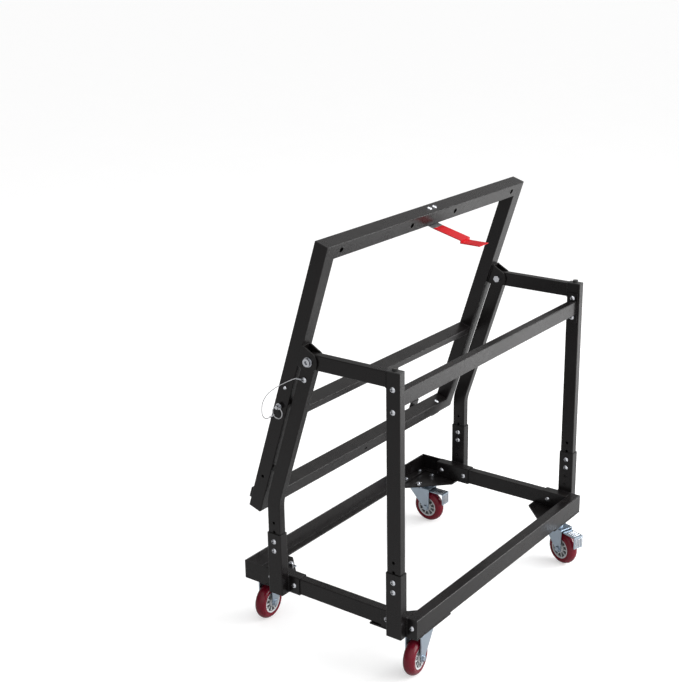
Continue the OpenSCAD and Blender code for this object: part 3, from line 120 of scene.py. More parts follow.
class NodeKit:
    """Short helpers to lay shader nodes into one tree."""

    def __init__(self, tree: bpy.types.NodeTree) -> None:
        """Keep the tree to work in."""
        self.tree = tree

    def add(self, kind: str, **values: object) -> bpy.types.Node:
        """Add a node and set its properties or inputs.

        Args:
            kind: The node's type name.
            values: Properties by name, or inputs by name with spaces as underscores.

        Returns:
            The new node.
        """
        node = self.tree.nodes.new(kind)
        for key, value in values.items():
            if hasattr(node, key):
                setattr(node, key, value)
            else:
                node.inputs[key.replace("_", " ")].default_value = value
        return node

    def link(self, source: bpy.types.NodeSocket, target: bpy.types.NodeSocket) -> None:
        """Join two sockets."""
        self.tree.links.new(source, target)

    def math(self, operation: str, a: object, b: object = None,
             clamp: bool = False) -> bpy.types.NodeSocket:
        """Add a Math node fed by sockets or numbers.

        Args:
            operation: The Math node's operation.
            a: First socket or number.
            b: Second socket or number, if the operation takes one.
            clamp: Whether the result stays between 0 and 1.

        Returns:
            The node's output socket.
        """
        node = self.add("ShaderNodeMath", operation=operation, use_clamp=clamp)
        for place, value in enumerate((a, b)):
            if value is None:
                continue
            if isinstance(value, (int, float)):
                node.inputs[place].default_value = value
            else:
                self.link(value, node.inputs[place])
        return node.outputs[0]

    def mix(self, factor: bpy.types.NodeSocket, a: object, b: object) -> bpy.types.NodeSocket:
        """Mix two colours by a mask.

        Args:
            factor: The mask's socket.
            a: Colour or socket where the mask is 0.
            b: Colour or socket where the mask is 1.

        Returns:
            The mixed colour's socket.
        """
        node = self.add("ShaderNodeMix", data_type="RGBA")
        self.link(factor, node.inputs["Factor"])
        for name, value in (("A", a), ("B", b)):
            socket = [s for s in node.inputs if s.name == name and s.type == "RGBA"][0]
            if isinstance(value, tuple):
                socket.default_value = (*value, 1.0)
            else:
                self.link(value, socket)
        return [s for s in node.outputs if s.type == "RGBA"][0]


class SurfaceEffects:
    """Shader node groups that several finishes share, each built once."""

    EDGE_SAMPLES = 6
    EDGE_GAIN = 4.0
    RUB_START, RUB_GAIN = 0.46, 7.0
    GRAIN_SHARE, CLOUD_SHARE = 0.45, 0.55
    CLOUD_SCALE = 9.0
    DUST_SCALE = 38.0
    UP_START, UP_GAIN = 0.3, 1.4
    DUST_START, DUST_GAIN = 0.38, 2.6
    # Settings of the painted shade that ambient occlusion puts into sockets and narrow corners.
    CREVICE_SAMPLES = 8
    CREVICE_START, CREVICE_GAIN = 0.85, 1.7

    def __init__(self) -> None:
        """Build the groups."""
        self.edge_rub = self._edge_rub()
        self.fine_grain = self._fine_grain()
        self.shop_dust = self._shop_dust()
        self.crevice_shade = self._crevice_shade_group()

    @staticmethod
    def _new(name: str, inputs: dict[str, float], outputs: dict[str, str]) -> tuple[
            bpy.types.NodeTree, NodeKit, bpy.types.Node, bpy.types.Node]:
        """Start a group with its named sockets.

        Args:
            name: The group's name.
            inputs: Number inputs with their defaults.
            outputs: Output names with their socket types.

        Returns:
            The group, a kit for it, its input node and its output node.
        """
        group = bpy.data.node_groups.new(name, "ShaderNodeTree")
        for key, value in inputs.items():
            socket = group.interface.new_socket(key, in_out="INPUT", socket_type="NodeSocketFloat")
            socket.default_value = value
        for key, kind in outputs.items():
            group.interface.new_socket(key, in_out="OUTPUT", socket_type=kind)
        kit = NodeKit(group)
        return group, kit, kit.add("NodeGroupInput"), kit.add("NodeGroupOutput")

    def _edge_rub(self) -> bpy.types.NodeTree:
        """Build the group that softens edges and marks where they are rubbed.

        Returns:
            The group.
        """
        group, kit, source, sink = self._new(
            "edge_rub", {"Radius": 0.0015, "Wear Scale": 60.0, "Wear": 0.5},
            {"Mask": "NodeSocketFloat", "Normal": "NodeSocketVector"})
        soft = kit.add("ShaderNodeBevel", samples=self.EDGE_SAMPLES)
        kit.link(source.outputs["Radius"], soft.inputs["Radius"])
        flat = kit.add("ShaderNodeNewGeometry")
        turn = kit.add("ShaderNodeVectorMath", operation="DOT_PRODUCT")
        kit.link(soft.outputs["Normal"], turn.inputs[0])
        kit.link(flat.outputs["Normal"], turn.inputs[1])
        bend = kit.math("MULTIPLY", kit.math("SUBTRACT", 1.0, turn.outputs["Value"]), self.EDGE_GAIN, True)
        place = kit.add("ShaderNodeTexCoord")
        noise = kit.add("ShaderNodeTexNoise", Detail=4.0, Roughness=0.65)
        kit.link(place.outputs["Object"], noise.inputs["Vector"])
        kit.link(source.outputs["Wear Scale"], noise.inputs["Scale"])
        worn = kit.math("MULTIPLY", kit.math("SUBTRACT", noise.outputs[0], self.RUB_START),
                        self.RUB_GAIN, True)
        kit.link(kit.math("MULTIPLY", kit.math("MULTIPLY", bend, worn), source.outputs["Wear"], True),
                 sink.inputs["Mask"])
        kit.link(soft.outputs["Normal"], sink.inputs["Normal"])
        return group

    def _fine_grain(self) -> bpy.types.NodeTree:
        """Build the group for the fine ripple of a coat or casting.

        Returns:
            The group.
        """
        group, kit, source, sink = self._new(
            "fine_grain", {"Scale": 700.0, "Low": 0.35, "High": 0.5},
            {"Height": "NodeSocketFloat", "Roughness": "NodeSocketFloat", "Cloud": "NodeSocketFloat"})
        place = kit.add("ShaderNodeTexCoord")
        small = kit.add("ShaderNodeTexNoise", Detail=3.0, Roughness=0.55)
        kit.link(place.outputs["Object"], small.inputs["Vector"])
        kit.link(source.outputs["Scale"], small.inputs["Scale"])
        cloud = kit.add("ShaderNodeTexNoise", Scale=self.CLOUD_SCALE, Detail=5.0, Roughness=0.6)
        kit.link(place.outputs["Object"], cloud.inputs["Vector"])
        blend = kit.math("ADD", kit.math("MULTIPLY", small.outputs[0], self.GRAIN_SHARE),
                         kit.math("MULTIPLY", cloud.outputs[0], self.CLOUD_SHARE))
        span = kit.math("SUBTRACT", source.outputs["High"], source.outputs["Low"])
        kit.link(kit.math("ADD", kit.math("MULTIPLY", blend, span), source.outputs["Low"]),
                 sink.inputs["Roughness"])
        kit.link(small.outputs[0], sink.inputs["Height"])
        kit.link(cloud.outputs[0], sink.inputs["Cloud"])
        return group

    def _shop_dust(self) -> bpy.types.NodeTree:
        """Build the group for pale dust that settles on upward faces.

        Returns:
            The group.
        """
        group, kit, source, sink = self._new(
            "shop_dust", {"Amount": 0.2}, {"Mask": "NodeSocketFloat"})
        face = kit.add("ShaderNodeNewGeometry")
        split = kit.add("ShaderNodeSeparateXYZ")
        kit.link(face.outputs["Normal"], split.inputs[0])
        place = kit.add("ShaderNodeTexCoord")
        noise = kit.add("ShaderNodeTexNoise", Scale=self.DUST_SCALE, Detail=6.0, Roughness=0.7)
        kit.link(place.outputs["Object"], noise.inputs["Vector"])
        up = kit.math("MULTIPLY", kit.math("SUBTRACT", split.outputs["Z"], self.UP_START),
                      self.UP_GAIN, True)
        speck = kit.math("MULTIPLY", kit.math("SUBTRACT", noise.outputs[0], self.DUST_START),
                         self.DUST_GAIN, True)
        kit.link(kit.math("MULTIPLY", kit.math("MULTIPLY", up, speck), source.outputs["Amount"], True),
                 sink.inputs["Mask"])
        return group

    def _crevice_shade_group(self) -> bpy.types.NodeTree:
        """Build the group for painted shade: ambient occlusion darkens sockets and narrow corners.

        Returns:
            The group.
        """
        group, kit, source, sink = self._new(
            "crevice_shade", {"Reach": 0.004, "Amount": 0.8}, {"Mask": "NodeSocketFloat"})
        # Painted shade: ambient occlusion becomes a mask that darkens the base colour in recesses.
        open_sky = kit.add("ShaderNodeAmbientOcclusion", samples=self.CREVICE_SAMPLES)
        kit.link(source.outputs["Reach"], open_sky.inputs["Distance"])
        shut = kit.math("MULTIPLY", kit.math("SUBTRACT", self.CREVICE_START, open_sky.outputs["AO"]),
                        self.CREVICE_GAIN, True)
        kit.link(kit.math("MULTIPLY", shut, source.outputs["Amount"], True), sink.inputs["Mask"])
        return group


@dataclass(frozen=True)
class Finish:
    """One surface finish, as colours and the strengths of the shared effects."""

    name: str
    colour: Colour
    cloud_colour: Colour
    rub_colour: Colour
    metallic: float = 0.0
    low: float = 0.35
    high: float = 0.5
    grain_scale: float = 700.0
    grain_depth: float = 0.00004
    edge: float = 0.0015
    wear: float = 0.3
    wear_scale: float = 60.0
    dust: float = 0.1
    coat: float = 0.0
    coat_roughness: float = 0.15
    specular: float = 0.5
    # Strength and reach of the painted shade that darkens sockets and narrow corners.
    painted_shade: float = 0.0
    painted_shade_reach: float = 0.004
    dust_roughness: float = 0.4

    def build(self, effects: SurfaceEffects) -> bpy.types.Material:
        """Lay out the finish's shader nodes.

        Args:
            effects: The shared node groups.

        Returns:
            The material.
        """
        material = bpy.data.materials.new(self.name)
        material.use_nodes = True
        tree = material.node_tree
        tree.nodes.clear()
        kit = NodeKit(tree)
        out = kit.add("ShaderNodeOutputMaterial")
        shader = kit.add("ShaderNodeBsdfPrincipled")
        kit.link(shader.outputs[0], out.inputs["Surface"])
        grain = kit.add("ShaderNodeGroup", node_tree=effects.fine_grain)
        grain.inputs["Scale"].default_value = self.grain_scale
        grain.inputs["Low"].default_value = self.low
        grain.inputs["High"].default_value = self.high
        rub = kit.add("ShaderNodeGroup", node_tree=effects.edge_rub)
        rub.inputs["Radius"].default_value = self.edge
        rub.inputs["Wear"].default_value = self.wear
        rub.inputs["Wear Scale"].default_value = self.wear_scale
        dust = kit.add("ShaderNodeGroup", node_tree=effects.shop_dust)
        dust.inputs["Amount"].default_value = self.dust
        tone = kit.mix(grain.outputs["Cloud"], self.colour, self.cloud_colour)
        tone = kit.mix(rub.outputs["Mask"], tone, self.rub_colour)
        tone = kit.mix(dust.outputs["Mask"], tone, DUST_COLOUR)
        # Painted shade: darken the base colour in sockets and narrow corners by ambient occlusion.
        if self.painted_shade:
            crevice_shade = kit.add("ShaderNodeGroup", node_tree=effects.crevice_shade)
            crevice_shade.inputs["Amount"].default_value = self.painted_shade
            crevice_shade.inputs["Reach"].default_value = self.painted_shade_reach
            tone = kit.mix(crevice_shade.outputs["Mask"], tone, PAINTED_SHADE_COLOUR)
        kit.link(tone, shader.inputs["Base Color"])
        rough = kit.math("ADD", grain.outputs["Roughness"],
                         kit.math("MULTIPLY", dust.outputs["Mask"], self.dust_roughness), True)
        kit.link(rough, shader.inputs["Roughness"])
        bump = kit.add("ShaderNodeBump", Strength=1.0, Distance=self.grain_depth)
        kit.link(grain.outputs["Height"], bump.inputs["Height"])
        kit.link(rub.outputs["Normal"], bump.inputs["Normal"])
        kit.link(bump.outputs[0], shader.inputs["Normal"])
        shader.inputs["Metallic"].default_value = self.metallic
        shader.inputs["Coat Weight"].default_value = self.coat
        shader.inputs["Coat Roughness"].default_value = self.coat_roughness
        shader.inputs["Specular IOR Level"].default_value = self.specular
        return material


# The bolt, zinc plate and hub finishes darken their sockets and narrow corners with painted shade.
FINISHES: dict[str, Finish] = {
    "black_coat": Finish("satin_black_coat", (0.0042, 0.0034, 0.0035), (0.0075, 0.0064, 0.0066),
                         (0.08, 0.08, 0.085), low=0.20, high=0.36, grain_scale=900.0,
                         grain_depth=0.00003, edge=0.0012, wear=0.2, dust=0.015, specular=0.3),
    "zinc_bolts": Finish("bright_zinc_bolts", (0.72, 0.73, 0.76), (0.62, 0.64, 0.69), (0.9, 0.9, 0.92),
                         metallic=1.0, low=0.10, high=0.28, grain_scale=1400.0, grain_depth=0.00001,
                         edge=0.0005, wear=0.4, dust=0.02, painted_shade=0.95, painted_shade_reach=0.005),
    "zinc_plate": Finish("bright_zinc_plate", (0.47, 0.54, 0.61), (0.34, 0.41, 0.49), (0.75, 0.78, 0.82),
                         metallic=1.0, low=0.3, high=0.46, grain_scale=900.0, grain_depth=0.00002,
                         edge=0.0009, wear=0.4, dust=0.03, painted_shade=0.5, painted_shade_reach=0.012),
    "spring_steel": Finish("plain_spring_steel", (0.46, 0.46, 0.47), (0.36, 0.36, 0.37), (0.66, 0.66, 0.67),
                           metallic=1.0, low=0.28, high=0.5, grain_scale=1100.0, grain_depth=0.00001,
                           edge=0.0004, wear=0.3),
    "red_latch": Finish("glossy_red_coat", (0.58, 0.006, 0.012), (0.46, 0.004, 0.009), (0.60, 0.10, 0.09),
                        low=0.30, high=0.42, grain_scale=700.0, grain_depth=0.00002, edge=0.0006,
                        wear=0.25, dust=0.01, specular=0.2),
    "red_tread": Finish("crimson_polyurethane", (0.17, 0.0018, 0.014), (0.10, 0.0014, 0.009),
                        (0.26, 0.010, 0.022), low=0.14, high=0.30, grain_scale=500.0, grain_depth=0.00003,
                        edge=0.0008, wear=0.3, dust=0.03, specular=0.3),
    "grey_hub": Finish("grey_nylon", (0.60, 0.61, 0.62), (0.50, 0.51, 0.53), (0.72, 0.72, 0.73),
                       low=0.34, high=0.5, grain_scale=800.0, grain_depth=0.00004, edge=0.001,
                       wear=0.2, dust=0.04, painted_shade=0.7, painted_shade_reach=0.012),
    "black_rubber": Finish("matt_black_rubber", (0.012, 0.012, 0.012), (0.02, 0.02, 0.02),
                           (0.05, 0.05, 0.05), low=0.6, high=0.8, grain_scale=1200.0,
                           grain_depth=0.00006, edge=0.001, wear=0.2, dust=0.15),
    "black_plug": Finish("moulded_black_plug", (0.016, 0.016, 0.017), (0.022, 0.022, 0.023),
                         (0.06, 0.06, 0.06), low=0.45, high=0.6, grain_scale=1000.0,
                         grain_depth=0.00005, edge=0.0012, wear=0.2, dust=0.08),
    "wire": Finish("stranded_wire", (0.62, 0.62, 0.64), (0.5, 0.5, 0.52), (0.8, 0.8, 0.82),
                   metallic=1.0, low=0.24, high=0.4, grain_scale=1600.0, grain_depth=0.00001,
                   edge=0.0002, wear=0.2),
}


class Paintwork:
    """Every finish as a material, put on the cart's pieces by their slots."""

    def __init__(self) -> None:
        """Build all materials."""
        effects = SurfaceEffects()
        self.materials = {slot: finish.build(effects) for slot, finish in FINISHES.items()}

    def dress(self, piece: bpy.types.Object, slot: str) -> None:
        """Put one material on a piece.

        Args:
            piece: The object.
            slot: The record's slot.
        """
        piece.data.materials.clear()
        piece.data.materials.append(self.materials[slot])

    def dress_cart(self) -> None:
        """Put each slot's material on the pieces that the record gives it."""
        for entry in frame["record"]["subparts"]:
            self.dress(frame["nodes"][entry["node"]], entry["material_slot"])


class Bench:
    """Hand tools for shaping a mesh with Blender's operators."""

    @staticmethod
    def clear() -> None:
        """Leave edit mode and select nothing."""
        if bpy.context.object is not None and bpy.context.object.mode != "OBJECT":
            bpy.ops.object.mode_set(mode="OBJECT")
        bpy.ops.object.select_all(action="DESELECT")

    @staticmethod
    def pick(piece: bpy.types.Object) -> None:
        """Make one object active and selected."""
        Bench.clear()
        piece.select_set(True)
        bpy.context.view_layer.objects.active = piece

    @staticmethod
    def settle(piece: bpy.types.Object, name: str) -> bpy.types.Object:
        """Name a finished piece and put its place into its mesh.

        Args:
            piece: The object.
            name: Its name.

        Returns:
            The same object.
        """
        Bench.pick(piece)
        bpy.ops.object.transform_apply(location=True, rotation=True, scale=True)
        piece.name = name
        piece.data.name = name
        return piece

    @staticmethod
    def repeat(piece: bpy.types.Object, count: int, step: Point) -> None:
        """Repeat the active object's mesh along a straight line.

        Args:
            piece: The object.
            count: How many there are in all.
            step: The way from one to the next, in metres.
        """
        array = piece.modifiers.new("repeat", "ARRAY")
        array.count = count
        array.use_relative_offset = False
        array.use_constant_offset = True
        array.constant_offset_displace = step
        bpy.ops.object.modifier_apply(modifier=array.name)

    @staticmethod
    def join(parts: list[bpy.types.Object], name: str) -> bpy.types.Object:
        """Join objects into one piece.

        Args:
            parts: The objects.
            name: The joined piece's name.

        Returns:
            The joined piece.
        """
        Bench.clear()
        for part in parts:
            part.select_set(True)
        bpy.context.view_layer.objects.active = parts[0]
        if len(parts) > 1:
            bpy.ops.object.join()
        return Bench.settle(bpy.context.object, name)


@dataclass
class WireLanyard:
    """The stranded wire between the left leg and the pull ring, in millimetres."""

    radius: float = 1.0
    strands: int = 6
    strand_sides: int = 4
    groove_share: float = 0.13
    lay_length: float = 12.0
    upper: Point = (-446.6, 54.56, 722.996)
    lower: Point = (-468.639, 122.015, 617.558)
    bulge: float = 40.0
    steps: int = 16
    smooth_deg: float = 50.0
    way_shares: list[Point] = field(default_factory=lambda: [
        (0, 0, 0), (0.09, 0.06, 0.01), (0.26, 0.16, 0.04), (0.48, 0.32, 0.10), (0.78, 0.52, 0.19),
        (1.05, 0.72, 0.33), (1.13, 0.85, 0.51), (1, 0.93, 0.69), (0.76, 0.99, 0.86), (0.45, 1.02, 0.97),
        (0.18, 1.02, 1.01), (0, 1, 1)])

    def route(self) -> list[Vector]:
        """Work out the wire's smooth line.

        Returns:
            The points in metres, from the leg to the ring.
        """
        (x0, y0, z0), (x1, y1, z1) = self.upper, self.lower
        knots = [CART.plain(x0 + (x1 - x0) * c - self.bulge * a, y0 + (y1 - y0) * b, z0 + (z1 - z0) * c)
                 for a, b, c in self.way_shares]
        line: list[Vector] = []
        for i in range(len(knots) - 1):
            p = [knots[max(i - 1, 0)], knots[i], knots[i + 1], knots[min(i + 2, len(knots) - 1)]]
            for s in range(self.steps):
                t = s / self.steps
                line.append(0.5 * (2 * p[1] + (p[2] - p[0]) * t
                                   + (2 * p[0] - 5 * p[1] + 4 * p[2] - p[3]) * t * t
                                   + (3 * p[1] - p[0] - 3 * p[2] + p[3]) * t ** 3))
        line.append(knots[-1])
        return line

    def rings(self, line: list[Vector]) -> list[list[Vector]]:
        """Work out the twisted section at each point of the line.

        Args:
            line: The wire's points.

        Returns:
            One ring of points for each point of the line.
        """
        around = self.strands * self.strand_sides
        rings: list[list[Vector]] = []
        travelled = 0.0
        side = Vector((1, 0, 0))
        for i, point in enumerate(line):
            ahead = (line[min(i + 1, len(line) - 1)] - line[max(i - 1, 0)]).normalized()
            side = (side - ahead * side.dot(ahead)).normalized()
            up = ahead.cross(side)
            if i:
                travelled += (point - line[i - 1]).length
            twist = travelled / (self.lay_length * MM) * 2 * math.pi
            ring: list[Vector] = []
            for k in range(around):
                a = 2 * math.pi * k / around
                r = self.radius * MM * (1 - self.groove_share * (0.5 - 0.5 * math.cos(self.strands * a)))
                ring.append(point + r * (math.cos(a + twist) * side + math.sin(a + twist) * up))
            rings.append(ring)
        return rings

    def _stretch(self, name: str, rings: list[list[Vector]]) -> bpy.types.Object:
        """Skin one stretch of the wire.

        Args:
            name: The stretch's name.
            rings: Its sections.

        Returns:
            The stretch.
        """
        around = len(rings[0])
        faces: list[tuple[int, ...]] = [tuple(reversed(range(around)))]
        for i in range(len(rings) - 1):
            for k in range(around):
                n = (k + 1) % around
                faces.append((i * around + k, i * around + n, (i + 1) * around + n, (i + 1) * around + k))
        faces.append(tuple((len(rings) - 1) * around + k for k in range(around)))
        mesh = bpy.data.meshes.new(name)
        mesh.from_pydata([v for ring in rings for v in ring], [], faces)
        mesh.update()
        piece = bpy.data.objects.new(name, mesh)
        bpy.context.collection.objects.link(piece)
        Bench.pick(piece)
        bpy.ops.object.shade_smooth_by_angle(angle=math.radians(self.smooth_deg))
        return piece

    def build(self, paint: Paintwork) -> None:
        """Make the wire as two stretches and hide the model's pin_lanyard part.

        Args:
            paint: The cart's materials.
        """
        line = self.route()
        rings = self.rings(line)
        middle = len(line) // 2
        spans = (("wire_upper", 0, middle, Body.CHASSIS, Body.SHEET_FRAME),
                 ("wire_lower", middle, len(line) - 1, Body.SHEET_FRAME, Body.TILT_LOCK))
        for name, first, last, near, far in spans:
            piece = self._stretch(name, rings[first:last + 1])
            paint.dress(piece, "wire")
            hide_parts("pin_lanyard")
            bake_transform(piece)


@dataclass
class WeldBeads:
    """Rows of overlapping weld droplets along the tube seams, in millimetres."""

    droplet_r: float = 1.7
    flat_share: float = 0.75
    tilt_deg: float = 25.0
    pitch: float = 2.3
    sides: int = 8
    rings: int = 5
    tube: tuple[float, float] = (22.0, 38.0)
    socket_half: float = 21.4
    base_half: float = 420.0
    plate_x: float = 418.4
    rail_in: float = 407.0
    mid_face: tuple[float, float] = (28.0, 66.0)
    mid_high: tuple[float, float] = (-196.0, -174.0)
    bracket_x: float = 417.9
    bracket_high: tuple[float, float] = (-20.0, 30.0)

    def _row(self, start: Vector, end: Vector) -> bpy.types.Object:
        """Lay one row of droplets.

        Args:
            start: Where the row starts, in metres.
            end: Where it ends, in metres.

        Returns:
            The row.
        """
        way = end - start
        Bench.clear()
        bpy.ops.mesh.primitive_uv_sphere_add(segments=self.sides, ring_count=self.rings,
                                             radius=self.droplet_r * MM)
        row = bpy.context.object
        bpy.ops.object.mode_set(mode="EDIT")
        bpy.ops.mesh.select_all(action="SELECT")
        bpy.ops.transform.resize(value=(1, 1, self.flat_share))
        bpy.ops.transform.rotate(value=math.radians(self.tilt_deg), orient_axis="X",
                                 center_override=(0, 0, 0))
        bpy.ops.object.mode_set(mode="OBJECT")
        bpy.ops.object.shade_smooth()
        count = max(2, round(way.length / (self.pitch * MM)))
        Bench.repeat(row, count, (0, 0, way.length / count))
        row.matrix_world = (Matrix.Translation(start + way / (2 * count))
                            @ way.to_track_quat("Z", "Y").to_matrix().to_4x4())
        return Bench.settle(row, "weld_row")

    def _ring(self, corners: list[Vector]) -> list[bpy.types.Object]:
        """Lay rows around a closed outline.

        Args:
            corners: The outline's corners.

        Returns:
            The rows.
        """
        return [self._row(a, b) for a, b in zip(corners, corners[1:] + corners[:1])]

    def _base_rows(self) -> list[bpy.types.Object]:
        """Lay the rows of the arms, the crossbar and the leg sockets.

        Returns:
            The rows.
        """
        rows: list[bpy.types.Object] = []
        rail_low, rail_high = (p[2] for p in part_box("base_rear_rail"))
        bar_low, bar_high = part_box("rear_crossbar")
        bar_y, bar_z = (bar_low[1] + bar_high[1]) / 2, (bar_low[2] + bar_high[2]) / 2
        half_y, half_z = self.tube[0] / 2 * MM, self.tube[1] / 2 * MM
        for side, word in ((-1, "left"), (1, "right")):
            low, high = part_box(f"arm_{word}")
            rows += self._ring([Vector((x, low[1], z)) for x, z in (
                (low[0], low[2]), (high[0], low[2]), (high[0], high[2]), (low[0], high[2]))])
            plate = CART.plain(side * self.plate_x, 0, 0)[0]
            rows += self._ring([Vector((plate, bar_y + y, bar_z + z)) for y, z in (
                (-half_y, -half_z), (half_y, -half_z), (half_y, half_z), (-half_y, half_z))])
            face = CART.plain(side * self.base_half, 0, 0)[0]
            for leg in ("front", "rear"):
                leg_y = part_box(f"{leg}_leg_{word}")[1][1] - self.tube[1] / 2 * MM
                back, front = leg_y - self.socket_half * MM, leg_y + self.socket_half * MM
                rows += [self._row(Vector((face, back, rail_low)), Vector((face, back, rail_high))),
                         self._row(Vector((face, back, rail_high)), Vector((face, front, rail_high)))]
        return rows

    def _frame_rows(self) -> list[bpy.types.Object]:
        """Lay the rows of the middle rail and the pivot brackets.

        Returns:
            The rows.
        """
        rows: list[bpy.types.Object] = []
        (back, face), (low, high) = self.mid_face, self.mid_high
        front = face - self.droplet_r
        for side in (-1, 1):
            rows += self._ring([CART.leaning(side * self.rail_in, n, u) for n, u in (
                (back, low), (front, low), (front, high), (back, high))])
            rows.append(self._row(CART.leaning(side * self.bracket_x, back, self.bracket_high[0]),
                                  CART.leaning(side * self.bracket_x, back, self.bracket_high[1])))
        return rows

    def build(self, paint: Paintwork) -> None:
        """Join the rows into one piece for each body.

        Args:
            paint: The cart's materials.
        """
        for name, body, rows in (("base_weld_beads", Body.CHASSIS, self._base_rows()),
                                 ("frame_weld_beads", Body.SHEET_FRAME, self._frame_rows())):
            piece = Bench.join(rows, name)
            paint.dress(piece, "black_coat")
            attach(piece, body.value)
            LOG.info("%s, %d rows", name, len(rows))


@dataclass
class PedalRibs:
    """Pressed ribs on the brake pedals, in millimetres out from the kingpin, across and up."""

    caster_x: float = 342.0
    caster_y: float = 230.0
    plate_top: float = 102.0
    face_out: float = 95.0
    face_middle: float = 83.5
    tread_out: float = 64.0
    length: float = 25.0
    width: float = 3.4
    proud: float = 1.3
    sunk: float = 0.5
    round_r: float = 0.6
    round_steps: int = 2
    pitch: float = 7.2
    count: int = 4
    rear_heading_deg: float = -108.0
    front_heading_deg: float = -90.0

    def _set(self, size: Point, first: Point, step: Point) -> bpy.types.Object:
        """Press one set of like ribs.

        Args:
            size: A rib's size.
            first: The first rib's middle.
            step: The way from one rib to the next.

        Returns:
            The set.
        """
        Bench.clear()
        bpy.ops.mesh.primitive_cube_add(size=1.0)
        ribs = bpy.context.object
        bpy.ops.object.mode_set(mode="EDIT")
        bpy.ops.mesh.select_all(action="SELECT")
        bpy.ops.transform.resize(value=tuple(length * MM for length in size))
        bpy.ops.mesh.bevel(offset=self.round_r * MM, segments=self.round_steps, affect="EDGES")
        bpy.ops.object.mode_set(mode="OBJECT")
        bpy.ops.object.shade_smooth()
        Bench.repeat(ribs, self.count, tuple(length * MM for length in step))
        ribs.location = Vector(first) * MM
        return Bench.settle(ribs, "rib_set")

    def build(self, paint: Paintwork) -> None:
        """Press the ribs into the bent face and the top of each pedal.

        Args:
            paint: The cart's materials.
        """
        thick, lift = self.proud + self.sunk, (self.proud - self.sunk) / 2
        side = -self.pitch * (self.count - 1) / 2
        for body, end, heading_deg in ((Body.BRAKE_REAR_RIGHT, -1, self.rear_heading_deg),
                                       (Body.BRAKE_FRONT_RIGHT, 1, self.front_heading_deg)):
            face = self._set((thick, self.width, self.length),
                             (self.face_out + lift, side, self.face_middle), (0, self.pitch, 0))
            top = self._set((self.width, self.length, thick),
                            (self.tread_out, 0, self.plate_top + lift), (self.pitch, 0, 0))
            name = f"pedal_ribs_{body.value.removeprefix('brake_')}"
            piece = Bench.join([face, top], name)
            piece.matrix_world = (Matrix.Translation(CART.plain(self.caster_x, end * self.caster_y, 0))
                                  @ Matrix.Rotation(math.radians(heading_deg), 4, "Z"))
            Bench.settle(piece, name)
            paint.dress(piece, "zinc_bolts")
            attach(piece, body.value)
            LOG.info("%s, %d ribs on each face", name, self.count)


@dataclass(frozen=True)
class Lamp:
    """One soft square lamp, in metres and watts."""

    name: str
    place: Point
    target: Point
    size: float
    power: float

    def hang(self) -> None:
        """Hang the lamp at its place and point it at its target."""
        data = bpy.data.lights.new(self.name, "AREA")
        data.shape = "SQUARE"
        data.size = self.size
        data.energy = self.power
        lamp = bpy.data.objects.new(self.name, data)
        bpy.context.collection.objects.link(lamp)
        way = Vector(self.target) - Vector(self.place)
        lamp.matrix_world = (Matrix.Translation(self.place)
                             @ way.to_track_quat("-Z", "Y").to_matrix().to_4x4())


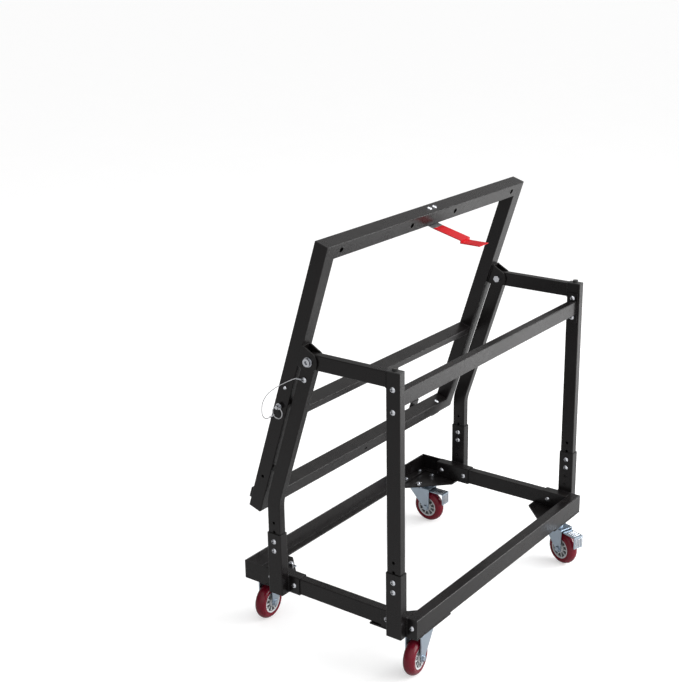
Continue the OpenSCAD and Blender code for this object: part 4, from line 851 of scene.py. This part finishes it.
@dataclass
class Studio:
    """The pale floor, the soft lights and the camera."""

    eye: Point = (-2592.0, -1708.0, 1729.1)
    yaw_deg: float = 37.282
    pitch_deg: float = 18.265
    roll_deg: float = -1.08
    focal_px: float = 1258.76
    image_px: float = 679.0
    sensor_mm: float = 36.0
    floor_size: float = 160.0
    floor_drop: float = 0.0005
    floor_dark: Colour = (0.60, 0.60, 0.60)
    floor_pale: Colour = (0.63, 0.63, 0.63)
    floor_cloud: float = 3.0
    floor_roughness: float = 0.9
    floor_specular: float = 0.1
    floor_glow: float = 0.5
    glow_way: Point = (0.05, -0.90, 0.43)
    glow_middle: float = 0.55
    glow_swing: float = 0.75
    glow_least: float = 0.15
    lamps: tuple[Lamp, ...] = (
        Lamp("key", (1.2, -3.4, 1.9), (0, 0, 0.5), 2.6, 85.0),
        Lamp("top", (0.2, 0.4, 4.0), (0, 0, 0.5), 3.0, 35.0),
        Lamp("floor_bounce", (2.0, -1.9, 1.1), (2.0, -1.7, 0), 1.4, 85.0))

    def build(self) -> None:
        """Build the whole studio."""
        self._floor()
        self._lights()
        self._camera()
        LOG.info("studio is ready")

    def _floor(self) -> None:
        """Lay the floor."""
        Bench.clear()
        bpy.ops.mesh.primitive_plane_add(size=self.floor_size, location=(0, 0, -self.floor_drop))
        floor = Bench.settle(bpy.context.object, "studio_floor")
        material = bpy.data.materials.new("pale_floor")
        material.use_nodes = True
        kit = NodeKit(material.node_tree)
        shader = material.node_tree.nodes["Principled BSDF"]
        place = kit.add("ShaderNodeTexCoord")
        noise = kit.add("ShaderNodeTexNoise", Scale=self.floor_cloud, Detail=3.0)
        kit.link(place.outputs["Object"], noise.inputs["Vector"])
        kit.link(kit.mix(noise.outputs[0], self.floor_dark, self.floor_pale), shader.inputs["Base Color"])
        shader.inputs["Roughness"].default_value = self.floor_roughness
        shader.inputs["Specular IOR Level"].default_value = self.floor_specular
        shader.inputs["Emission Color"].default_value = WHITE
        ray = kit.add("ShaderNodeLightPath")
        kit.link(kit.math("MULTIPLY", ray.outputs["Is Camera Ray"], self.floor_glow),
                 shader.inputs["Emission Strength"])
        floor.data.materials.append(material)

    def _lights(self) -> None:
        """Set the world's glow and hang the lamps."""
        world = bpy.data.worlds.new("studio_glow")
        world.use_nodes = True
        kit = NodeKit(world.node_tree)
        glow = world.node_tree.nodes["Background"]
        glow.inputs["Color"].default_value = WHITE
        place = kit.add("ShaderNodeTexCoord")
        facing = kit.add("ShaderNodeVectorMath", operation="DOT_PRODUCT")
        kit.link(place.outputs["Generated"], facing.inputs[0])
        facing.inputs[1].default_value = self.glow_way
        swing = kit.math("MULTIPLY", facing.outputs["Value"], self.glow_swing)
        level = kit.math("MAXIMUM", kit.math("ADD", swing, self.glow_middle), self.glow_least)
        ray = kit.add("ShaderNodeLightPath")
        kit.link(kit.math("MAXIMUM", level, ray.outputs["Is Camera Ray"]), glow.inputs["Strength"])
        bpy.context.scene.world = world
        bpy.context.scene.view_settings.view_transform = "Standard"
        for lamp in self.lamps:
            lamp.hang()

    def _camera(self) -> None:
        """Place the camera at the photograph's viewing angle."""
        yaw, pitch, roll = (math.radians(a) for a in (self.yaw_deg, self.pitch_deg, self.roll_deg))
        level = math.cos(pitch)
        ahead = Vector((math.cos(yaw) * level, math.sin(yaw) * level, -math.sin(pitch)))
        right = ahead.cross(Vector((0, 0, 1))).normalized()
        up = right.cross(ahead)
        c, s = math.cos(roll), math.sin(roll)
        right, up = c * right + s * up, c * up - s * right
        data = bpy.data.cameras.new("camera")
        data.sensor_fit = "HORIZONTAL"
        data.sensor_width = self.sensor_mm
        data.lens = self.focal_px / self.image_px * data.sensor_width
        camera = bpy.data.objects.new("camera", data)
        bpy.context.collection.objects.link(camera)
        turn = Matrix((right, up, -ahead)).transposed().to_4x4()
        camera.matrix_world = Matrix.Translation(CART.plain(*self.eye)) @ turn
        bpy.context.scene.camera = camera


def main() -> None:
    """Build the studio and dress the cart."""
    logging.basicConfig(level=logging.INFO, format="%(name)s: %(message)s")
    Studio().build()
    paint = Paintwork()
    paint.dress_cart()
    WireLanyard().build(paint)
    WeldBeads().build(paint)
    PedalRibs().build(paint)


if __name__ == "__main__":
    main()
